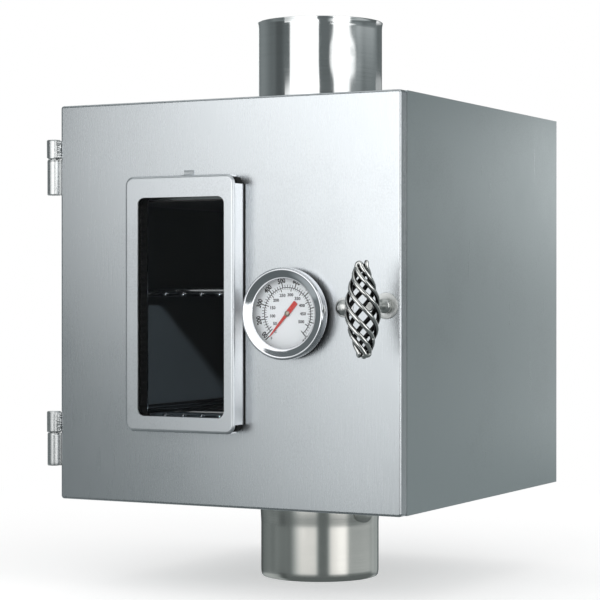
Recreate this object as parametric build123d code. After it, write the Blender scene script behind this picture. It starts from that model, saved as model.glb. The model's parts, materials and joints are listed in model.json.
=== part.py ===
from build123d import *
import math
import os

# Flue-pipe camp oven: a double-walled stainless box that stands in a stove's chimney.
# Smoke enters by the lower collar, passes round the inner baking chamber and leaves by the
# upper collar. The door carries a window, a bimetal thermometer and a wire basket handle
# that turns a latch. Millimetres. Origin: centre of the lower collar's rim, +Z up along the
# flue, the door faces -Y and its hinges are on the -X side.

# ---- box
WIDTH = 254.0
HEIGHT = 266.0
DEPTH = 275.0            # door face to back wall
SHEET = 1.0              # casing, chamber and door sheet
BEND_RADIUS = 2.5        # outside radius of the casing's bends
PANEL_FLANGE = 12.0      # down-turned edge of the top and bottom panels
FRAME_PLATE = 1.2        # front frame thickness
SEAM_GAP = 0.3           # gap left behind the front frame for the panel flanges

# ---- flue collars
COLLAR_WALL = 0.8
INLET_LENGTH = 60.0
INLET_RADIUS = 41.6      # outside, swaged straight stretch
INLET_SPIGOT = 46.0      # length of that stretch
INLET_ROOT_RADIUS = 42.3  # outside, at the box
OUTLET_LENGTH = 64.0
OUTLET_RADIUS = 44.0     # outside, straight stretch
OUTLET_RIM_RADIUS = 44.65
OUTLET_FLARE = 4.0
COLLAR_LIP = 7.0         # flange of each collar, spot-welded inside the panel
HOLE_CLEARANCE = 0.1     # round holes over what passes through them

# ---- baking chamber
WIRE_SIDES = 6           # rack and basket wires are drawn six-sided
SIDE_GAP = 23.0          # smoke way between chamber and casing at each side
CHAMBER_FLOOR = 50.0     # inside floor above the casing's bottom
CHAMBER_HEIGHT = 150.0   # inside
CHAMBER_CORNER = 3.0     # inside corner radius
REAR_GAP = 24.5          # smoke way between chamber plate and casing back
BACK_FLANGE = 8.0
STAY_WIDTH = 15.0
STAY_FOOT = 12.0
STAY_SPREAD = 60.0

# ---- racks and rails
RACK_EDGE_RADIUS = 2.0   # perimeter wire
RACK_BAR_RADIUS = 1.25   # cross wires
RACK_WELD = 0.4          # how far crossed wires sink together
RACK_PITCH = 14.0
RACK_REAR_GAP = 12.5     # rack to chamber back
RAIL_REAR_GAP = 16.5     # rail to chamber back
RACK_CORNER = 9.0
RACK_SIDE_GAP = 4.0      # perimeter wire to chamber wall
RACK_SETBACK = 18.0      # rack front behind the door's face
LOWER_RACK_UP = 60.0     # perimeter wire centre above the casing's bottom
PROBE_TO_RACK = 14.7     # the upper rack clears the thermometer's probe by this much
UPPER_RAIL_DROP = 8.0    # each rail's upright leg
LOWER_RAIL_DROP = 4.5
RAIL_LEG = 9.0
RACK_CLEARANCE = 0.3

# ---- door
DOOR_PAN = 8.5           # depth of the door's turned edge
DOOR_GAP = 0.5           # door rim to front frame
DOOR_CORNER = 2.0
DOOR_BEND = 1.6

# ---- hinges
HINGE_OUTSET = 5.8       # axis outside the door's edge
HINGE_SETBACK = 0.5      # axis behind the door's face
DOOR_KNUCKLE_RADIUS = 4.8
BODY_KNUCKLE_RADIUS = 4.4
HINGE_PIN_RADIUS = 2.5
PIN_RUNNING_FIT = 0.07
HINGE_LEAF = 2.3
HINGE_LEAF_LENGTH = 32.0
HINGE_LEAF_RELIEF = 0.3  # leaf to door edge
KNUCKLE_CAP = 1.6
BRIDGE_DEPTH = 3.5       # tab that joins the door knuckle to the door's edge
# bottom, split and top: the upper hinge below the casing's top, the lower one above its bottom
UPPER_HINGE_DOWN = (60.4, 36.3, 22.7)
LOWER_HINGE_UP = (22.3, 44.5, 59.3)

# ---- window
FRAME_WIDTH = 82.4
FRAME_HEIGHT = 167.1
FRAME_BOTTOM = 48.6      # above the door's bottom edge
FRAME_TO_BEZEL = 4.3     # clear space between frame and thermometer
FRAME_PROUD = 14.0       # front of the frame before the door
FRAME_SHEET = 1.0
FRAME_CORNER = 6.0
FRAME_BEND = 2.0
CORNER_NOTCH = 6.0       # flanges stop short of the corners
# width of the frame's four bars
BAR_LEFT = 9.8
BAR_RIGHT = 7.1
BAR_BOTTOM = 10.2
BAR_TOP = 14.0
SIGHT_CORNER = 5.0
FRONT_GASKET = 1.5
GLASS_THICKNESS = 4.0
GLASS_CLEARANCE = 1.0
CLIP_WIDTH = 7.0
CLIP_HEIGHT = 4.0
CLIP_REACH = 4.0
CLIP_SHEET = 0.8

# ---- thermometer
GAUGE_TO_RIVET = 38.6
GAUGE_UP = 126.2
BEZEL_RADIUS = 29.3
BEZEL_OPENING = 23.3
BEZEL_PROUD = 12.0
BEZEL_SKIRT = 5.3        # back edge of the bezel before the door
BEZEL_SHEET = 0.7
CASE_STANDOFF = 2.5
CASE_SHEET = 0.8
DIAL_SHEET = 0.4
LENS_THICKNESS = 1.6
LENS_INSET = 1.6         # lens front behind the bezel's front
BOSS_RADIUS = 9.0
NECK_RADIUS = 5.0
NECK_REACH = 9.0         # threaded neck behind the door's face
STEM_RADIUS = 3.2
STEM_REACH = 62.0
STEM_WALL = 0.6
SHAFT_RADIUS = 0.7
SHAFT_FIT = 0.06
POINTER_TIP = 20.5
POINTER_TAIL = 9.6
POINTER_WIDTH = 3.2
POINTER_ROOT = 2.2
POINTER_POINT = 0.5
POINTER_SHEET = 0.4
POINTER_ANGLE = -139.0   # clockwise from up at rest
HUB_RADIUS = 1.9
GAUGE_WASHER = 1.0
GAUGE_NUT = 5.0
GAUGE_NUT_FLATS = 14.0
COIL_RADIUS = 2.0
COIL_WIRE = 0.3
COIL_STRIP = 0.8
COIL_TURNS = 3
COIL_PITCH = 12.0
COIL_LEAD = 6.0          # neck to the coil, and coil to the shaft's end

# ---- handle and latch
SPINDLE_FROM_RIGHT = 10.0
SPINDLE_UP = 131.4
RIVET_TO_SPINDLE = 29.2
RIVET_DROP = 1.2         # rivet below the spindle
RIVET_WASHER_RADIUS = 6.3
WASHER_RADIUS = 8.3
WASHER_SHEET = 0.8
SPINDLE_RADIUS = 3.2
COLLAR_RADIUS = 4.6      # shoulder of the spindle on its washer
COLLAR_PROUD = 4.0
CAGE_STANDOFF = 34.0     # basket axis before the door's face
CAGE_DROP = 2.8          # basket centre below the spindle
CAGE_LENGTH = 60.6
CAGE_RADIUS = 9.9        # strand centres at the middle
CAGE_END_RADIUS = 3.0    # strand centres at the ends
CAGE_STRANDS = 6
CAGE_TWIST = 410.0       # degrees of left-handed twist from end to end
CAGE_GATHER = 0.23       # how much faster the strands turn near the ends than on average
CAGE_TURN = -9.0         # basket turned on its own axis from the even position
CAGE_STEPS = 14          # straight runs that each strand is drawn with
STRAND_RADIUS = 1.4
CAGE_CAP = 3.0
HANDLE_LEAN = -1.8       # degrees clockwise at rest
LATCH_PLATE = 2.0
LATCH_PLATE_HEIGHT = 20.0
LATCH_PLATE_MARGIN = 8.5
RIVET_SHANK = 2.4
RIVET_HEAD = 5.05
RIVET_PROUD = 4.2
RIVET_TAIL = 1.5
WAVE_WASHER = 0.5
BUSH_RADIUS = 4.8
CAM_HUB_RADIUS = 4.4
TONGUE_LENGTH = 17.0
TONGUE_WIDTH = 8.0
TONGUE_THICKNESS = 2.0
TONGUE_GAP = 0.3         # tongue behind the front frame
SQUARE = 4.4             # across flats of the spindle's square end
SQUARE_FIT = 0.1
THREAD_RADIUS = 2.1
SPINDLE_NUT = 3.0
SPINDLE_NUT_FLATS = 8.0
SLOT_MARGIN = 1.5        # slot over the tongue on every side

# ---- places worked out from the sizes above
LEFT = -WIDTH / 2
RIGHT = WIDTH / 2
DOOR_FACE = -DEPTH / 2
BACK = DEPTH / 2
BODY_FRONT = DOOR_FACE + DOOR_PAN + DOOR_GAP
BOTTOM = INLET_LENGTH
TOP = BOTTOM + HEIGHT
MID_Z = (BOTTOM + TOP) / 2
FRAME_BACK = BODY_FRONT + FRAME_PLATE
CHAMBER_WIDTH = WIDTH - 2 * (SIDE_GAP + 2 * SHEET)
CHAMBER_Z = BOTTOM + CHAMBER_FLOOR + CHAMBER_HEIGHT / 2
CHAMBER_BACK = BACK - SHEET - REAR_GAP
HINGE_X = LEFT - HINGE_OUTSET
HINGE_Y = DOOR_FACE + HINGE_SETBACK
SPINDLE_X = RIGHT - SPINDLE_FROM_RIGHT
SPINDLE_Z = BOTTOM + SPINDLE_UP
RIVET_X = SPINDLE_X - RIVET_TO_SPINDLE
RIVET_Z = SPINDLE_Z - RIVET_DROP
GAUGE_X = RIVET_X - GAUGE_TO_RIVET
GAUGE_Z = BOTTOM + GAUGE_UP
FRAME_RIGHT = GAUGE_X - BEZEL_RADIUS - FRAME_TO_BEZEL
FRAME_LEFT = FRAME_RIGHT - FRAME_WIDTH
FRAME_LOW = BOTTOM + FRAME_BOTTOM
FRAME_HIGH = FRAME_LOW + FRAME_HEIGHT
PLATE_BACK = DOOR_FACE + SHEET + LATCH_PLATE
TONGUE_FRONT = FRAME_BACK + TONGUE_GAP
# each rack's perimeter wire centre above the casing's bottom, and its rails' drop
RACKS = {
    "upper": (GAUGE_UP + PROBE_TO_RACK, UPPER_RAIL_DROP),
    "lower": (LOWER_RACK_UP, LOWER_RAIL_DROP),
}
# bottom, split and top heights of each hinge
HINGES = {
    "upper": [TOP - drop for drop in UPPER_HINGE_DOWN],
    "lower": [BOTTOM + rise for rise in LOWER_HINGE_UP],
}


def plate(sketch, y_front, thickness):
    """Flat piece parallel to the door, drawn as (X, Z), from y_front back by thickness."""
    return extrude(Plane.XZ.offset(-(y_front + thickness)) * sketch, amount=thickness)


def slab(sketch, z_low, thickness):
    """Flat level piece, drawn as (X, Y), from z_low up by thickness."""
    return extrude(Plane.XY.offset(z_low) * sketch, amount=thickness)


def block(x_low, x_high, y_low, y_high, z_low, z_high):
    """Rectangular block between two corners."""
    centre = ((x_low + x_high) / 2, (y_low + y_high) / 2, (z_low + z_high) / 2)
    return Pos(*centre) * Box(x_high - x_low, y_high - y_low, z_high - z_low)


def rod_y(radius, y_low, y_high, x=0.0, z=0.0):
    """Round bar along Y."""
    middle = (y_low + y_high) / 2
    return Pos(x, middle, z) * Rot(90, 0, 0) * Cylinder(radius, y_high - y_low)


def rod_z(radius, z_low, z_high, x=0.0, y=0.0):
    """Round bar along Z."""
    return Pos(x, y, (z_low + z_high) / 2) * Cylinder(radius, z_high - z_low)


def turned_z(points):
    """Body of revolution about the flue axis from (radius, z) points."""
    return revolve(make_face(Plane.XZ * Polyline(*points, close=True)), Axis.Z)


def turned_y(points, x, z):
    """Body of revolution about an axis along Y from (radius, y) points."""
    return Pos(x, 0, z) * revolve(make_face(Plane.XY * Polyline(*points, close=True)), Axis.Y)


def upright_outline(left, right, low, high, corner):
    """Rounded rectangle in (X, Z) between two corners."""
    place = Pos((left + right) / 2, (low + high) / 2)
    return place * RectangleRounded(right - left, high - low, corner)


# ---- oven body

def body_outline(inset, y_front, corner):
    """Plan outline of the casing, inset from its outside, rounded at the back corners."""
    width = WIDTH - 2 * inset
    depth = BACK - inset - y_front
    outline = Pos(0, y_front + depth / 2) * Rectangle(width, depth)
    return fillet(outline.vertices().group_by(Axis.Y)[-1], corner)


def casing_wrap():
    """Left side, back and right side folded from one sheet."""
    outer = body_outline(0, BODY_FRONT, BEND_RADIUS)
    inner = body_outline(SHEET, BODY_FRONT - SHEET, BEND_RADIUS - SHEET)
    return slab(outer - inner, BOTTOM, HEIGHT)


def end_panel(hole_radius):
    """Level panel with its left, right and back edges turned down, as fitted at the top."""
    corner = BEND_RADIUS - SHEET
    tray = slab(body_outline(SHEET, BODY_FRONT, corner), TOP - PANEL_FLANGE, PANEL_FLANGE)
    room = body_outline(2 * SHEET, BODY_FRONT - SHEET, corner - SHEET / 2)
    tray -= slab(room, TOP - PANEL_FLANGE, PANEL_FLANGE - SHEET)
    frame_room = block(LEFT, RIGHT, BODY_FRONT - SHEET, FRAME_BACK + SEAM_GAP,
                       TOP - PANEL_FLANGE, TOP - SHEET)
    return tray - frame_room - rod_z(hole_radius, TOP - SHEET * 2, TOP + SHEET)


def top_panel():
    return end_panel(OUTLET_RADIUS + HOLE_CLEARANCE)


def bottom_panel():
    return mirror(end_panel(INLET_ROOT_RADIUS + HOLE_CLEARANCE), Plane.XY.offset(MID_Z))


def latch_slot():
    """Outline of the upright slot that the latch tongue passes through."""
    width = TONGUE_WIDTH + 2 * SLOT_MARGIN
    height = TONGUE_LENGTH + 2 * SLOT_MARGIN
    return Pos(SPINDLE_X, SPINDLE_Z) * Rot(0, 0, 90) * SlotOverall(height, width)


def front_frame():
    """Flat ring between the casing and the chamber mouth, with the latch slot."""
    half = WIDTH / 2 - SHEET
    mouth_half = CHAMBER_WIDTH / 2 + SHEET
    mouth_rise = CHAMBER_HEIGHT / 2 + SHEET
    outline = upright_outline(-half, half, BOTTOM + SHEET, TOP - SHEET, SHEET)
    mouth = upright_outline(-mouth_half, mouth_half, CHAMBER_Z - mouth_rise,
                            CHAMBER_Z + mouth_rise, CHAMBER_CORNER + SHEET / 2)
    return plate(outline - mouth - latch_slot(), BODY_FRONT, FRAME_PLATE)


def chamber_wrap():
    """Floor, sides and ceiling of the baking chamber, folded into a sleeve."""
    outer = Pos(0, CHAMBER_Z) * RectangleRounded(
        CHAMBER_WIDTH + 2 * SHEET, CHAMBER_HEIGHT + 2 * SHEET, CHAMBER_CORNER + SHEET)
    inner = Pos(0, CHAMBER_Z) * RectangleRounded(CHAMBER_WIDTH, CHAMBER_HEIGHT, CHAMBER_CORNER)
    return plate(outer - inner, BODY_FRONT, CHAMBER_BACK + BACK_FLANGE - BODY_FRONT)


def chamber_back():
    """Rear wall of the chamber, a shallow tray with its edges turned back."""
    corner = CHAMBER_CORNER + SHEET
    outer = Pos(0, CHAMBER_Z) * RectangleRounded(CHAMBER_WIDTH, CHAMBER_HEIGHT, corner)
    inner = Pos(0, CHAMBER_Z) * RectangleRounded(
        CHAMBER_WIDTH - 2 * SHEET, CHAMBER_HEIGHT - 2 * SHEET, CHAMBER_CORNER)
    tray = plate(outer, CHAMBER_BACK - SHEET, BACK_FLANGE + SHEET)
    return tray - plate(inner, CHAMBER_BACK, BACK_FLANGE + SHEET)


def chamber_stays():
    """Two folded strips that hold the chamber's rear wall off the casing back."""
    inner_back = BACK - SHEET
    stays = []
    for side in (-1, 1):
        x_low = side * STAY_SPREAD - STAY_WIDTH / 2
        x_high = x_low + STAY_WIDTH
        front_foot = block(x_low, x_high, CHAMBER_BACK, CHAMBER_BACK + SHEET,
                           CHAMBER_Z, CHAMBER_Z + STAY_FOOT)
        web = block(x_low, x_high, CHAMBER_BACK, inner_back, CHAMBER_Z, CHAMBER_Z + SHEET)
        rear_foot = block(x_low, x_high, inner_back - SHEET, inner_back,
                          CHAMBER_Z - STAY_FOOT, CHAMBER_Z + SHEET)
        stays.append(front_foot + web + rear_foot)
    return Compound(children=stays)


def inlet_collar():
    """Lower collar: slightly swaged spigot with a lip inside the bottom panel."""
    lip = BOTTOM + SHEET
    wall = COLLAR_WALL
    return turned_z([
        (INLET_RADIUS - wall, 0),
        (INLET_RADIUS, 0),
        (INLET_RADIUS, INLET_SPIGOT),
        (INLET_ROOT_RADIUS, BOTTOM),
        (INLET_ROOT_RADIUS, lip),
        (INLET_ROOT_RADIUS + COLLAR_LIP, lip),
        (INLET_ROOT_RADIUS + COLLAR_LIP, lip + wall),
        (INLET_ROOT_RADIUS - wall, lip + wall),
        (INLET_ROOT_RADIUS - wall, BOTTOM),
        (INLET_RADIUS - wall, INLET_SPIGOT),
    ])


def outlet_collar():
    """Upper collar: socket for the next pipe, slightly flared at its rim."""
    lip = TOP - SHEET
    rim = TOP + OUTLET_LENGTH
    wall = COLLAR_WALL
    return turned_z([
        (OUTLET_RADIUS - wall, lip - wall),
        (OUTLET_RADIUS + COLLAR_LIP, lip - wall),
        (OUTLET_RADIUS + COLLAR_LIP, lip),
        (OUTLET_RADIUS, lip),
        (OUTLET_RADIUS, rim - OUTLET_FLARE),
        (OUTLET_RIM_RADIUS, rim),
        (OUTLET_RIM_RADIUS - wall, rim),
        (OUTLET_RADIUS - wall, rim - OUTLET_FLARE),
    ])


# ---- racks

def rack_front():
    return DOOR_FACE + RACK_SETBACK


def rack_rail(side, rack_z, drop):
    """Angle rail welded to one chamber wall, with its level leg under the rack's edge."""
    wall = side * CHAMBER_WIDTH / 2
    leg_top = BOTTOM + rack_z - RACK_EDGE_RADIUS - RACK_CLEARANCE
    y_low = rack_front() + RACK_CORNER
    y_high = CHAMBER_BACK - SHEET - RAIL_REAR_GAP
    inner = wall - side * RAIL_LEG
    level = block(min(inner, wall), max(inner, wall), y_low, y_high, leg_top - SHEET, leg_top)
    skin = wall - side * SHEET
    upright = block(min(skin, wall), max(skin, wall), y_low, y_high, leg_top - drop, leg_top)
    return level + upright


def wire_rack(rack_z):
    """Chromed rack: a perimeter wire loop with cross wires welded under it."""
    z = BOTTOM + rack_z
    half_width = CHAMBER_WIDTH / 2 - RACK_SIDE_GAP - RACK_EDGE_RADIUS
    front = rack_front() + RACK_EDGE_RADIUS
    rear = CHAMBER_BACK - SHEET - RACK_REAR_GAP - RACK_EDGE_RADIUS
    loop = Plane.XY.offset(z) * Pos(0, (front + rear) / 2) * RectangleRounded(
        2 * half_width, rear - front, RACK_CORNER)
    path = loop.wire()
    start = Plane(origin=path @ 0, z_dir=path % 0)
    rack = sweep(start * RegularPolygon(RACK_EDGE_RADIUS, WIRE_SIDES), path=path)
    bar_z = z - RACK_EDGE_RADIUS - RACK_BAR_RADIUS + RACK_WELD
    bars_each_side = int((CHAMBER_WIDTH / 2 - RAIL_LEG - RACK_BAR_RADIUS) / RACK_PITCH)
    bar = RegularPolygon(RACK_BAR_RADIUS, WIRE_SIDES)
    y_low = front - RACK_EDGE_RADIUS
    length = rear + RACK_EDGE_RADIUS - y_low
    for index in range(-bars_each_side, bars_each_side + 1):
        rack += plate(Pos(index * RACK_PITCH, bar_z) * bar, y_low, length)
    return rack


# ---- hinges

def body_knuckle(low, split):
    """Lower half of a lift-off hinge, with its leaf on the casing's left side."""
    leaf_front = HINGE_Y
    leaf_back = HINGE_Y + HINGE_LEAF_LENGTH
    leaf = block(LEFT - HINGE_LEAF, LEFT, leaf_front, leaf_back, low, split)
    rear_edges = leaf.edges().filter_by(Axis.X).group_by(Axis.Y)[-1]
    leaf = fillet(rear_edges, 3 * SHEET)
    relief = block(LEFT - HINGE_LEAF_RELIEF, LEFT + SHEET, leaf_front - SHEET,
                   BODY_FRONT + HINGE_LEAF_RELIEF, low - SHEET, split + SHEET)
    knuckle = rod_z(BODY_KNUCKLE_RADIUS, low, split, HINGE_X, HINGE_Y)
    bore = rod_z(HINGE_PIN_RADIUS, low - SHEET, split + SHEET, HINGE_X, HINGE_Y)
    return knuckle + leaf - relief - bore


def door_knuckle(split, top):
    """Upper half of a lift-off hinge: a capped barrel on a short tab."""
    barrel = rod_z(DOOR_KNUCKLE_RADIUS, split, top, HINGE_X, HINGE_Y)
    barrel = chamfer(barrel.edges().group_by(Axis.Z)[-1], SHEET / 2)
    tab = block(HINGE_X, LEFT, HINGE_Y, HINGE_Y + BRIDGE_DEPTH, split, top - SHEET)
    bore = rod_z(HINGE_PIN_RADIUS + PIN_RUNNING_FIT, split - SHEET, top - KNUCKLE_CAP,
                 HINGE_X, HINGE_Y)
    return barrel + tab - bore


def hinge_pin(low, top):
    """Pin pressed into the lower knuckle and standing up inside the upper one."""
    return rod_z(HINGE_PIN_RADIUS, low, top - KNUCKLE_CAP - SHEET / 2, HINGE_X, HINGE_Y)


# ---- door

def window_sight(margin):
    """Outline of the window's clear opening, grown by margin."""
    return upright_outline(FRAME_LEFT + BAR_LEFT - margin, FRAME_RIGHT - BAR_RIGHT + margin,
                           FRAME_LOW + BAR_BOTTOM - margin, FRAME_HIGH - BAR_TOP + margin,
                           SIGHT_CORNER)


def door_panel():
    """Door skin with all four edges turned back, pierced for window, gauge and spindle."""
    outer = block(LEFT, RIGHT, DOOR_FACE, DOOR_FACE + DOOR_PAN, BOTTOM, TOP)
    outer = fillet(outer.edges().filter_by(Axis.Y), DOOR_CORNER)
    outer = fillet(outer.faces().sort_by(Axis.Y)[0].edges(), DOOR_BEND)
    inner = block(LEFT + SHEET, RIGHT - SHEET, DOOR_FACE + SHEET, DOOR_FACE + DOOR_PAN + SHEET,
                  BOTTOM + SHEET, TOP - SHEET)
    inner = fillet(inner.edges().filter_by(Axis.Y), DOOR_CORNER - SHEET)
    inner = fillet(inner.faces().sort_by(Axis.Y)[0].edges(), DOOR_BEND - SHEET)
    front = DOOR_FACE - SHEET
    rear = DOOR_FACE + 2 * SHEET
    pan = outer - inner
    pan -= plate(window_sight(SHEET), front, rear - front)
    pan -= rod_y(NECK_RADIUS + HOLE_CLEARANCE, front, rear, GAUGE_X, GAUGE_Z)
    pan -= rod_y(SPINDLE_RADIUS + HOLE_CLEARANCE, front, rear, SPINDLE_X, SPINDLE_Z)
    return pan - rod_y(RIVET_SHANK, front, rear, RIVET_X, RIVET_Z)


def window_frame():
    """Pressed frame that stands proud of the door on four flanges with open corners."""
    front = DOOR_FACE - FRAME_PROUD
    tray = block(FRAME_LEFT, FRAME_RIGHT, front, DOOR_FACE, FRAME_LOW, FRAME_HIGH)
    tray = fillet(tray.edges().filter_by(Axis.Y), FRAME_CORNER)
    tray = fillet(tray.faces().sort_by(Axis.Y)[0].edges(), FRAME_BEND)
    hollow = block(FRAME_LEFT + FRAME_SHEET, FRAME_RIGHT - FRAME_SHEET, front + FRAME_SHEET,
                   DOOR_FACE + FRAME_SHEET, FRAME_LOW + FRAME_SHEET, FRAME_HIGH - FRAME_SHEET)
    hollow = fillet(hollow.edges().filter_by(Axis.Y), FRAME_CORNER - FRAME_SHEET)
    hollow = fillet(hollow.faces().sort_by(Axis.Y)[0].edges(), FRAME_BEND - FRAME_SHEET)
    frame = tray - hollow - plate(window_sight(0), front - SHEET, FRAME_BEND + SHEET)
    for x in (FRAME_LEFT, FRAME_RIGHT):
        for z in (FRAME_LOW, FRAME_HIGH):
            frame -= block(x - CORNER_NOTCH, x + CORNER_NOTCH, front + FRAME_BEND,
                           DOOR_FACE + SHEET, z - CORNER_NOTCH, z + CORNER_NOTCH)
    return frame


def glazing(y_front, thickness, ring):
    """Glass pane, or a gasket ring with the pane's outline."""
    margin = FRAME_SHEET + GLASS_CLEARANCE
    outline = upright_outline(FRAME_LEFT + margin, FRAME_RIGHT - margin,
                              FRAME_LOW + margin, FRAME_HIGH - margin, FRAME_CORNER)
    if ring:
        outline -= window_sight(SHEET)
    return plate(outline, y_front, thickness)


def front_gasket():
    return glazing(DOOR_FACE - FRAME_PROUD + FRAME_SHEET, FRONT_GASKET, True)


def glass_front():
    return DOOR_FACE - FRAME_PROUD + FRAME_SHEET + FRONT_GASKET


def window_glass():
    return glazing(glass_front(), GLASS_THICKNESS, False)


def rear_gasket():
    start = glass_front() + GLASS_THICKNESS
    return glazing(start, DOOR_FACE - start, True)


def frame_clip():
    """Small angle clip that stops the frame sliding up off its seat."""
    middle = (FRAME_LEFT + FRAME_RIGHT) / 2
    left = middle - CLIP_WIDTH / 2
    right = middle + CLIP_WIDTH / 2
    upright = block(left, right, DOOR_FACE - CLIP_SHEET, DOOR_FACE,
                    FRAME_HIGH, FRAME_HIGH + CLIP_HEIGHT)
    ledge = block(left, right, DOOR_FACE - CLIP_REACH, DOOR_FACE,
                  FRAME_HIGH, FRAME_HIGH + CLIP_SHEET)
    return upright + ledge


# ---- thermometer

def gauge_case():
    """Shallow cup behind the bezel, pierced for the stem."""
    back = DOOR_FACE - CASE_STANDOFF
    outer = BEZEL_RADIUS - BEZEL_SHEET
    mouth = DOOR_FACE - BEZEL_PROUD + LENS_INSET + LENS_THICKNESS
    bend = 2 * CASE_SHEET
    cup = turned_y([
        (SHAFT_RADIUS + SHAFT_FIT, back),
        (outer - bend, back),
        (outer, back - bend),
        (outer, mouth),
        (outer - CASE_SHEET, mouth),
        (outer - CASE_SHEET, back - bend),
        (outer - bend, back - CASE_SHEET),
        (SHAFT_RADIUS + SHAFT_FIT, back - CASE_SHEET),
    ], GAUGE_X, GAUGE_Z)
    return cup


def gauge_bezel():
    """Rolled chrome ring: flat-bevelled front, rounded shoulder and a short skirt."""
    front = DOOR_FACE - BEZEL_PROUD
    outer = BEZEL_RADIUS
    inner = outer - BEZEL_SHEET
    skirt = DOOR_FACE - BEZEL_SKIRT
    lens = front + LENS_INSET
    shoulder = 2.0
    crown = outer - shoulder
    return turned_y([
        (inner, lens),
        (inner, skirt),
        (outer, skirt),
        (outer, front + shoulder),
        (outer - 0.3 * shoulder, front + 0.3 * shoulder),
        (crown, front),
        (crown - shoulder, front + 0.4),
        (BEZEL_OPENING, lens - 0.5 * BEZEL_SHEET),
        (BEZEL_OPENING, lens),
    ], GAUGE_X, GAUGE_Z)


def gauge_lens():
    front = DOOR_FACE - BEZEL_PROUD + LENS_INSET
    radius = BEZEL_RADIUS - BEZEL_SHEET
    return rod_y(radius, front, front + LENS_THICKNESS, GAUGE_X, GAUGE_Z)


def dial_front():
    return DOOR_FACE - CASE_STANDOFF - CASE_SHEET - DIAL_SHEET


def gauge_dial():
    radius = BEZEL_RADIUS - BEZEL_SHEET - 2 * CASE_SHEET
    disc = rod_y(radius, dial_front(), dial_front() + DIAL_SHEET, GAUGE_X, GAUGE_Z)
    hole = rod_y(SHAFT_RADIUS + SHAFT_FIT, dial_front() - SHEET, DOOR_FACE, GAUGE_X, GAUGE_Z)
    return disc - hole


def gauge_stem():
    """Boss, threaded neck and probe tube; the shaft runs down its bore."""
    boss = DOOR_FACE - CASE_STANDOFF
    neck = DOOR_FACE + NECK_REACH
    tip = DOOR_FACE + STEM_REACH
    bore = STEM_RADIUS - STEM_WALL
    shaft = SHAFT_RADIUS + SHAFT_FIT
    return turned_y([
        (shaft, boss),
        (BOSS_RADIUS, boss),
        (BOSS_RADIUS, DOOR_FACE),
        (NECK_RADIUS, DOOR_FACE),
        (NECK_RADIUS, neck),
        (STEM_RADIUS, neck),
        (STEM_RADIUS, tip - SHEET),
        (STEM_RADIUS - SHEET, tip),
        (0, tip),
        (0, tip - 2 * SHEET),
        (bore, tip - 2 * SHEET),
        (bore, neck),
        (shaft, neck),
    ], GAUGE_X, GAUGE_Z)


def gauge_washer():
    front = DOOR_FACE + SHEET
    disc = rod_y(BOSS_RADIUS, front, front + GAUGE_WASHER, GAUGE_X, GAUGE_Z)
    return disc - rod_y(NECK_RADIUS + HOLE_CLEARANCE, front - SHEET, front + 2 * GAUGE_WASHER,
                        GAUGE_X, GAUGE_Z)


def hex_nut(flats, bore, y_front, thickness, x, z):
    """Hexagon nut with its axis along Y."""
    outline = Pos(x, z) * (RegularPolygon(flats / 2, 6, major_radius=False) - Circle(bore))
    return plate(outline, y_front, thickness)


def gauge_nut():
    front = DOOR_FACE + SHEET + GAUGE_WASHER
    return hex_nut(GAUGE_NUT_FLATS, NECK_RADIUS + HOLE_CLEARANCE / 2, front, GAUGE_NUT,
                   GAUGE_X, GAUGE_Z)


def rounded_path(points):
    """Straight runs joined by tangent arcs as large as the runs allow."""
    vectors = [Vector(*point) for point in points]
    radii = []
    for before, corner, after in zip(vectors, vectors[1:], vectors[2:]):
        turn = math.radians((corner - before).get_angle(after - corner))
        shorter = min((corner - before).length, (after - corner).length)
        radii.append(0.45 * shorter / math.tan(turn / 2))
    return FilletPolyline(*points, radius=radii)


def swept_wire(path, outline):
    """Wire of the given section along a path; mitred where the path has corners."""
    start = Plane(origin=path @ 0, z_dir=path % 0)
    return sweep(start * outline, path=path.wire(), transition=Transition.RIGHT)


def bimetal_coil():
    """Coiled strip in the probe that turns the shaft as it warms."""
    steps = 6
    y_low = DOOR_FACE + NECK_REACH + COIL_LEAD
    points = []
    for index in range(COIL_TURNS * steps + 1):
        angle = 2 * math.pi * index / steps
        points.append((GAUGE_X + COIL_RADIUS * math.cos(angle),
                       y_low + COIL_PITCH * index / steps,
                       GAUGE_Z + COIL_RADIUS * math.sin(angle)))
    return swept_wire(rounded_path(points), Rectangle(COIL_WIRE, COIL_STRIP))


def pointer():
    """Needle with a paddle tail, drawn upright and turned to its rest angle."""
    needle = make_face(Polyline(
        (-POINTER_ROOT / 2, 0),
        (-POINTER_POINT / 2, POINTER_TIP),
        (POINTER_POINT / 2, POINTER_TIP),
        (POINTER_ROOT / 2, 0),
        close=True))
    tail = Pos(0, -POINTER_TAIL / 2) * Rectangle(POINTER_WIDTH, POINTER_TAIL)
    outline = needle + tail + Circle(HUB_RADIUS)
    outline = Rot(0, 0, -POINTER_ANGLE) * outline
    back = dial_front() - POINTER_SHEET
    blade = plate(Pos(GAUGE_X, GAUGE_Z) * outline, back - POINTER_SHEET, POINTER_SHEET)
    return blade - rod_y(SHAFT_RADIUS, back - 1, back + 1, GAUGE_X, GAUGE_Z)


def pointer_shaft():
    """Thin shaft from the pointer's cap to the far end of the coil."""
    back = dial_front() - POINTER_SHEET
    cap_back = back - POINTER_SHEET
    far = DOOR_FACE + NECK_REACH + 2 * COIL_LEAD + COIL_PITCH * COIL_TURNS
    return turned_y([
        (0, cap_back - POINTER_SHEET),
        (HUB_RADIUS, cap_back - POINTER_SHEET),
        (HUB_RADIUS, cap_back),
        (SHAFT_RADIUS, cap_back),
        (SHAFT_RADIUS, far),
        (0, far),
    ], GAUGE_X, GAUGE_Z)


# ---- handle and latch

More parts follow.
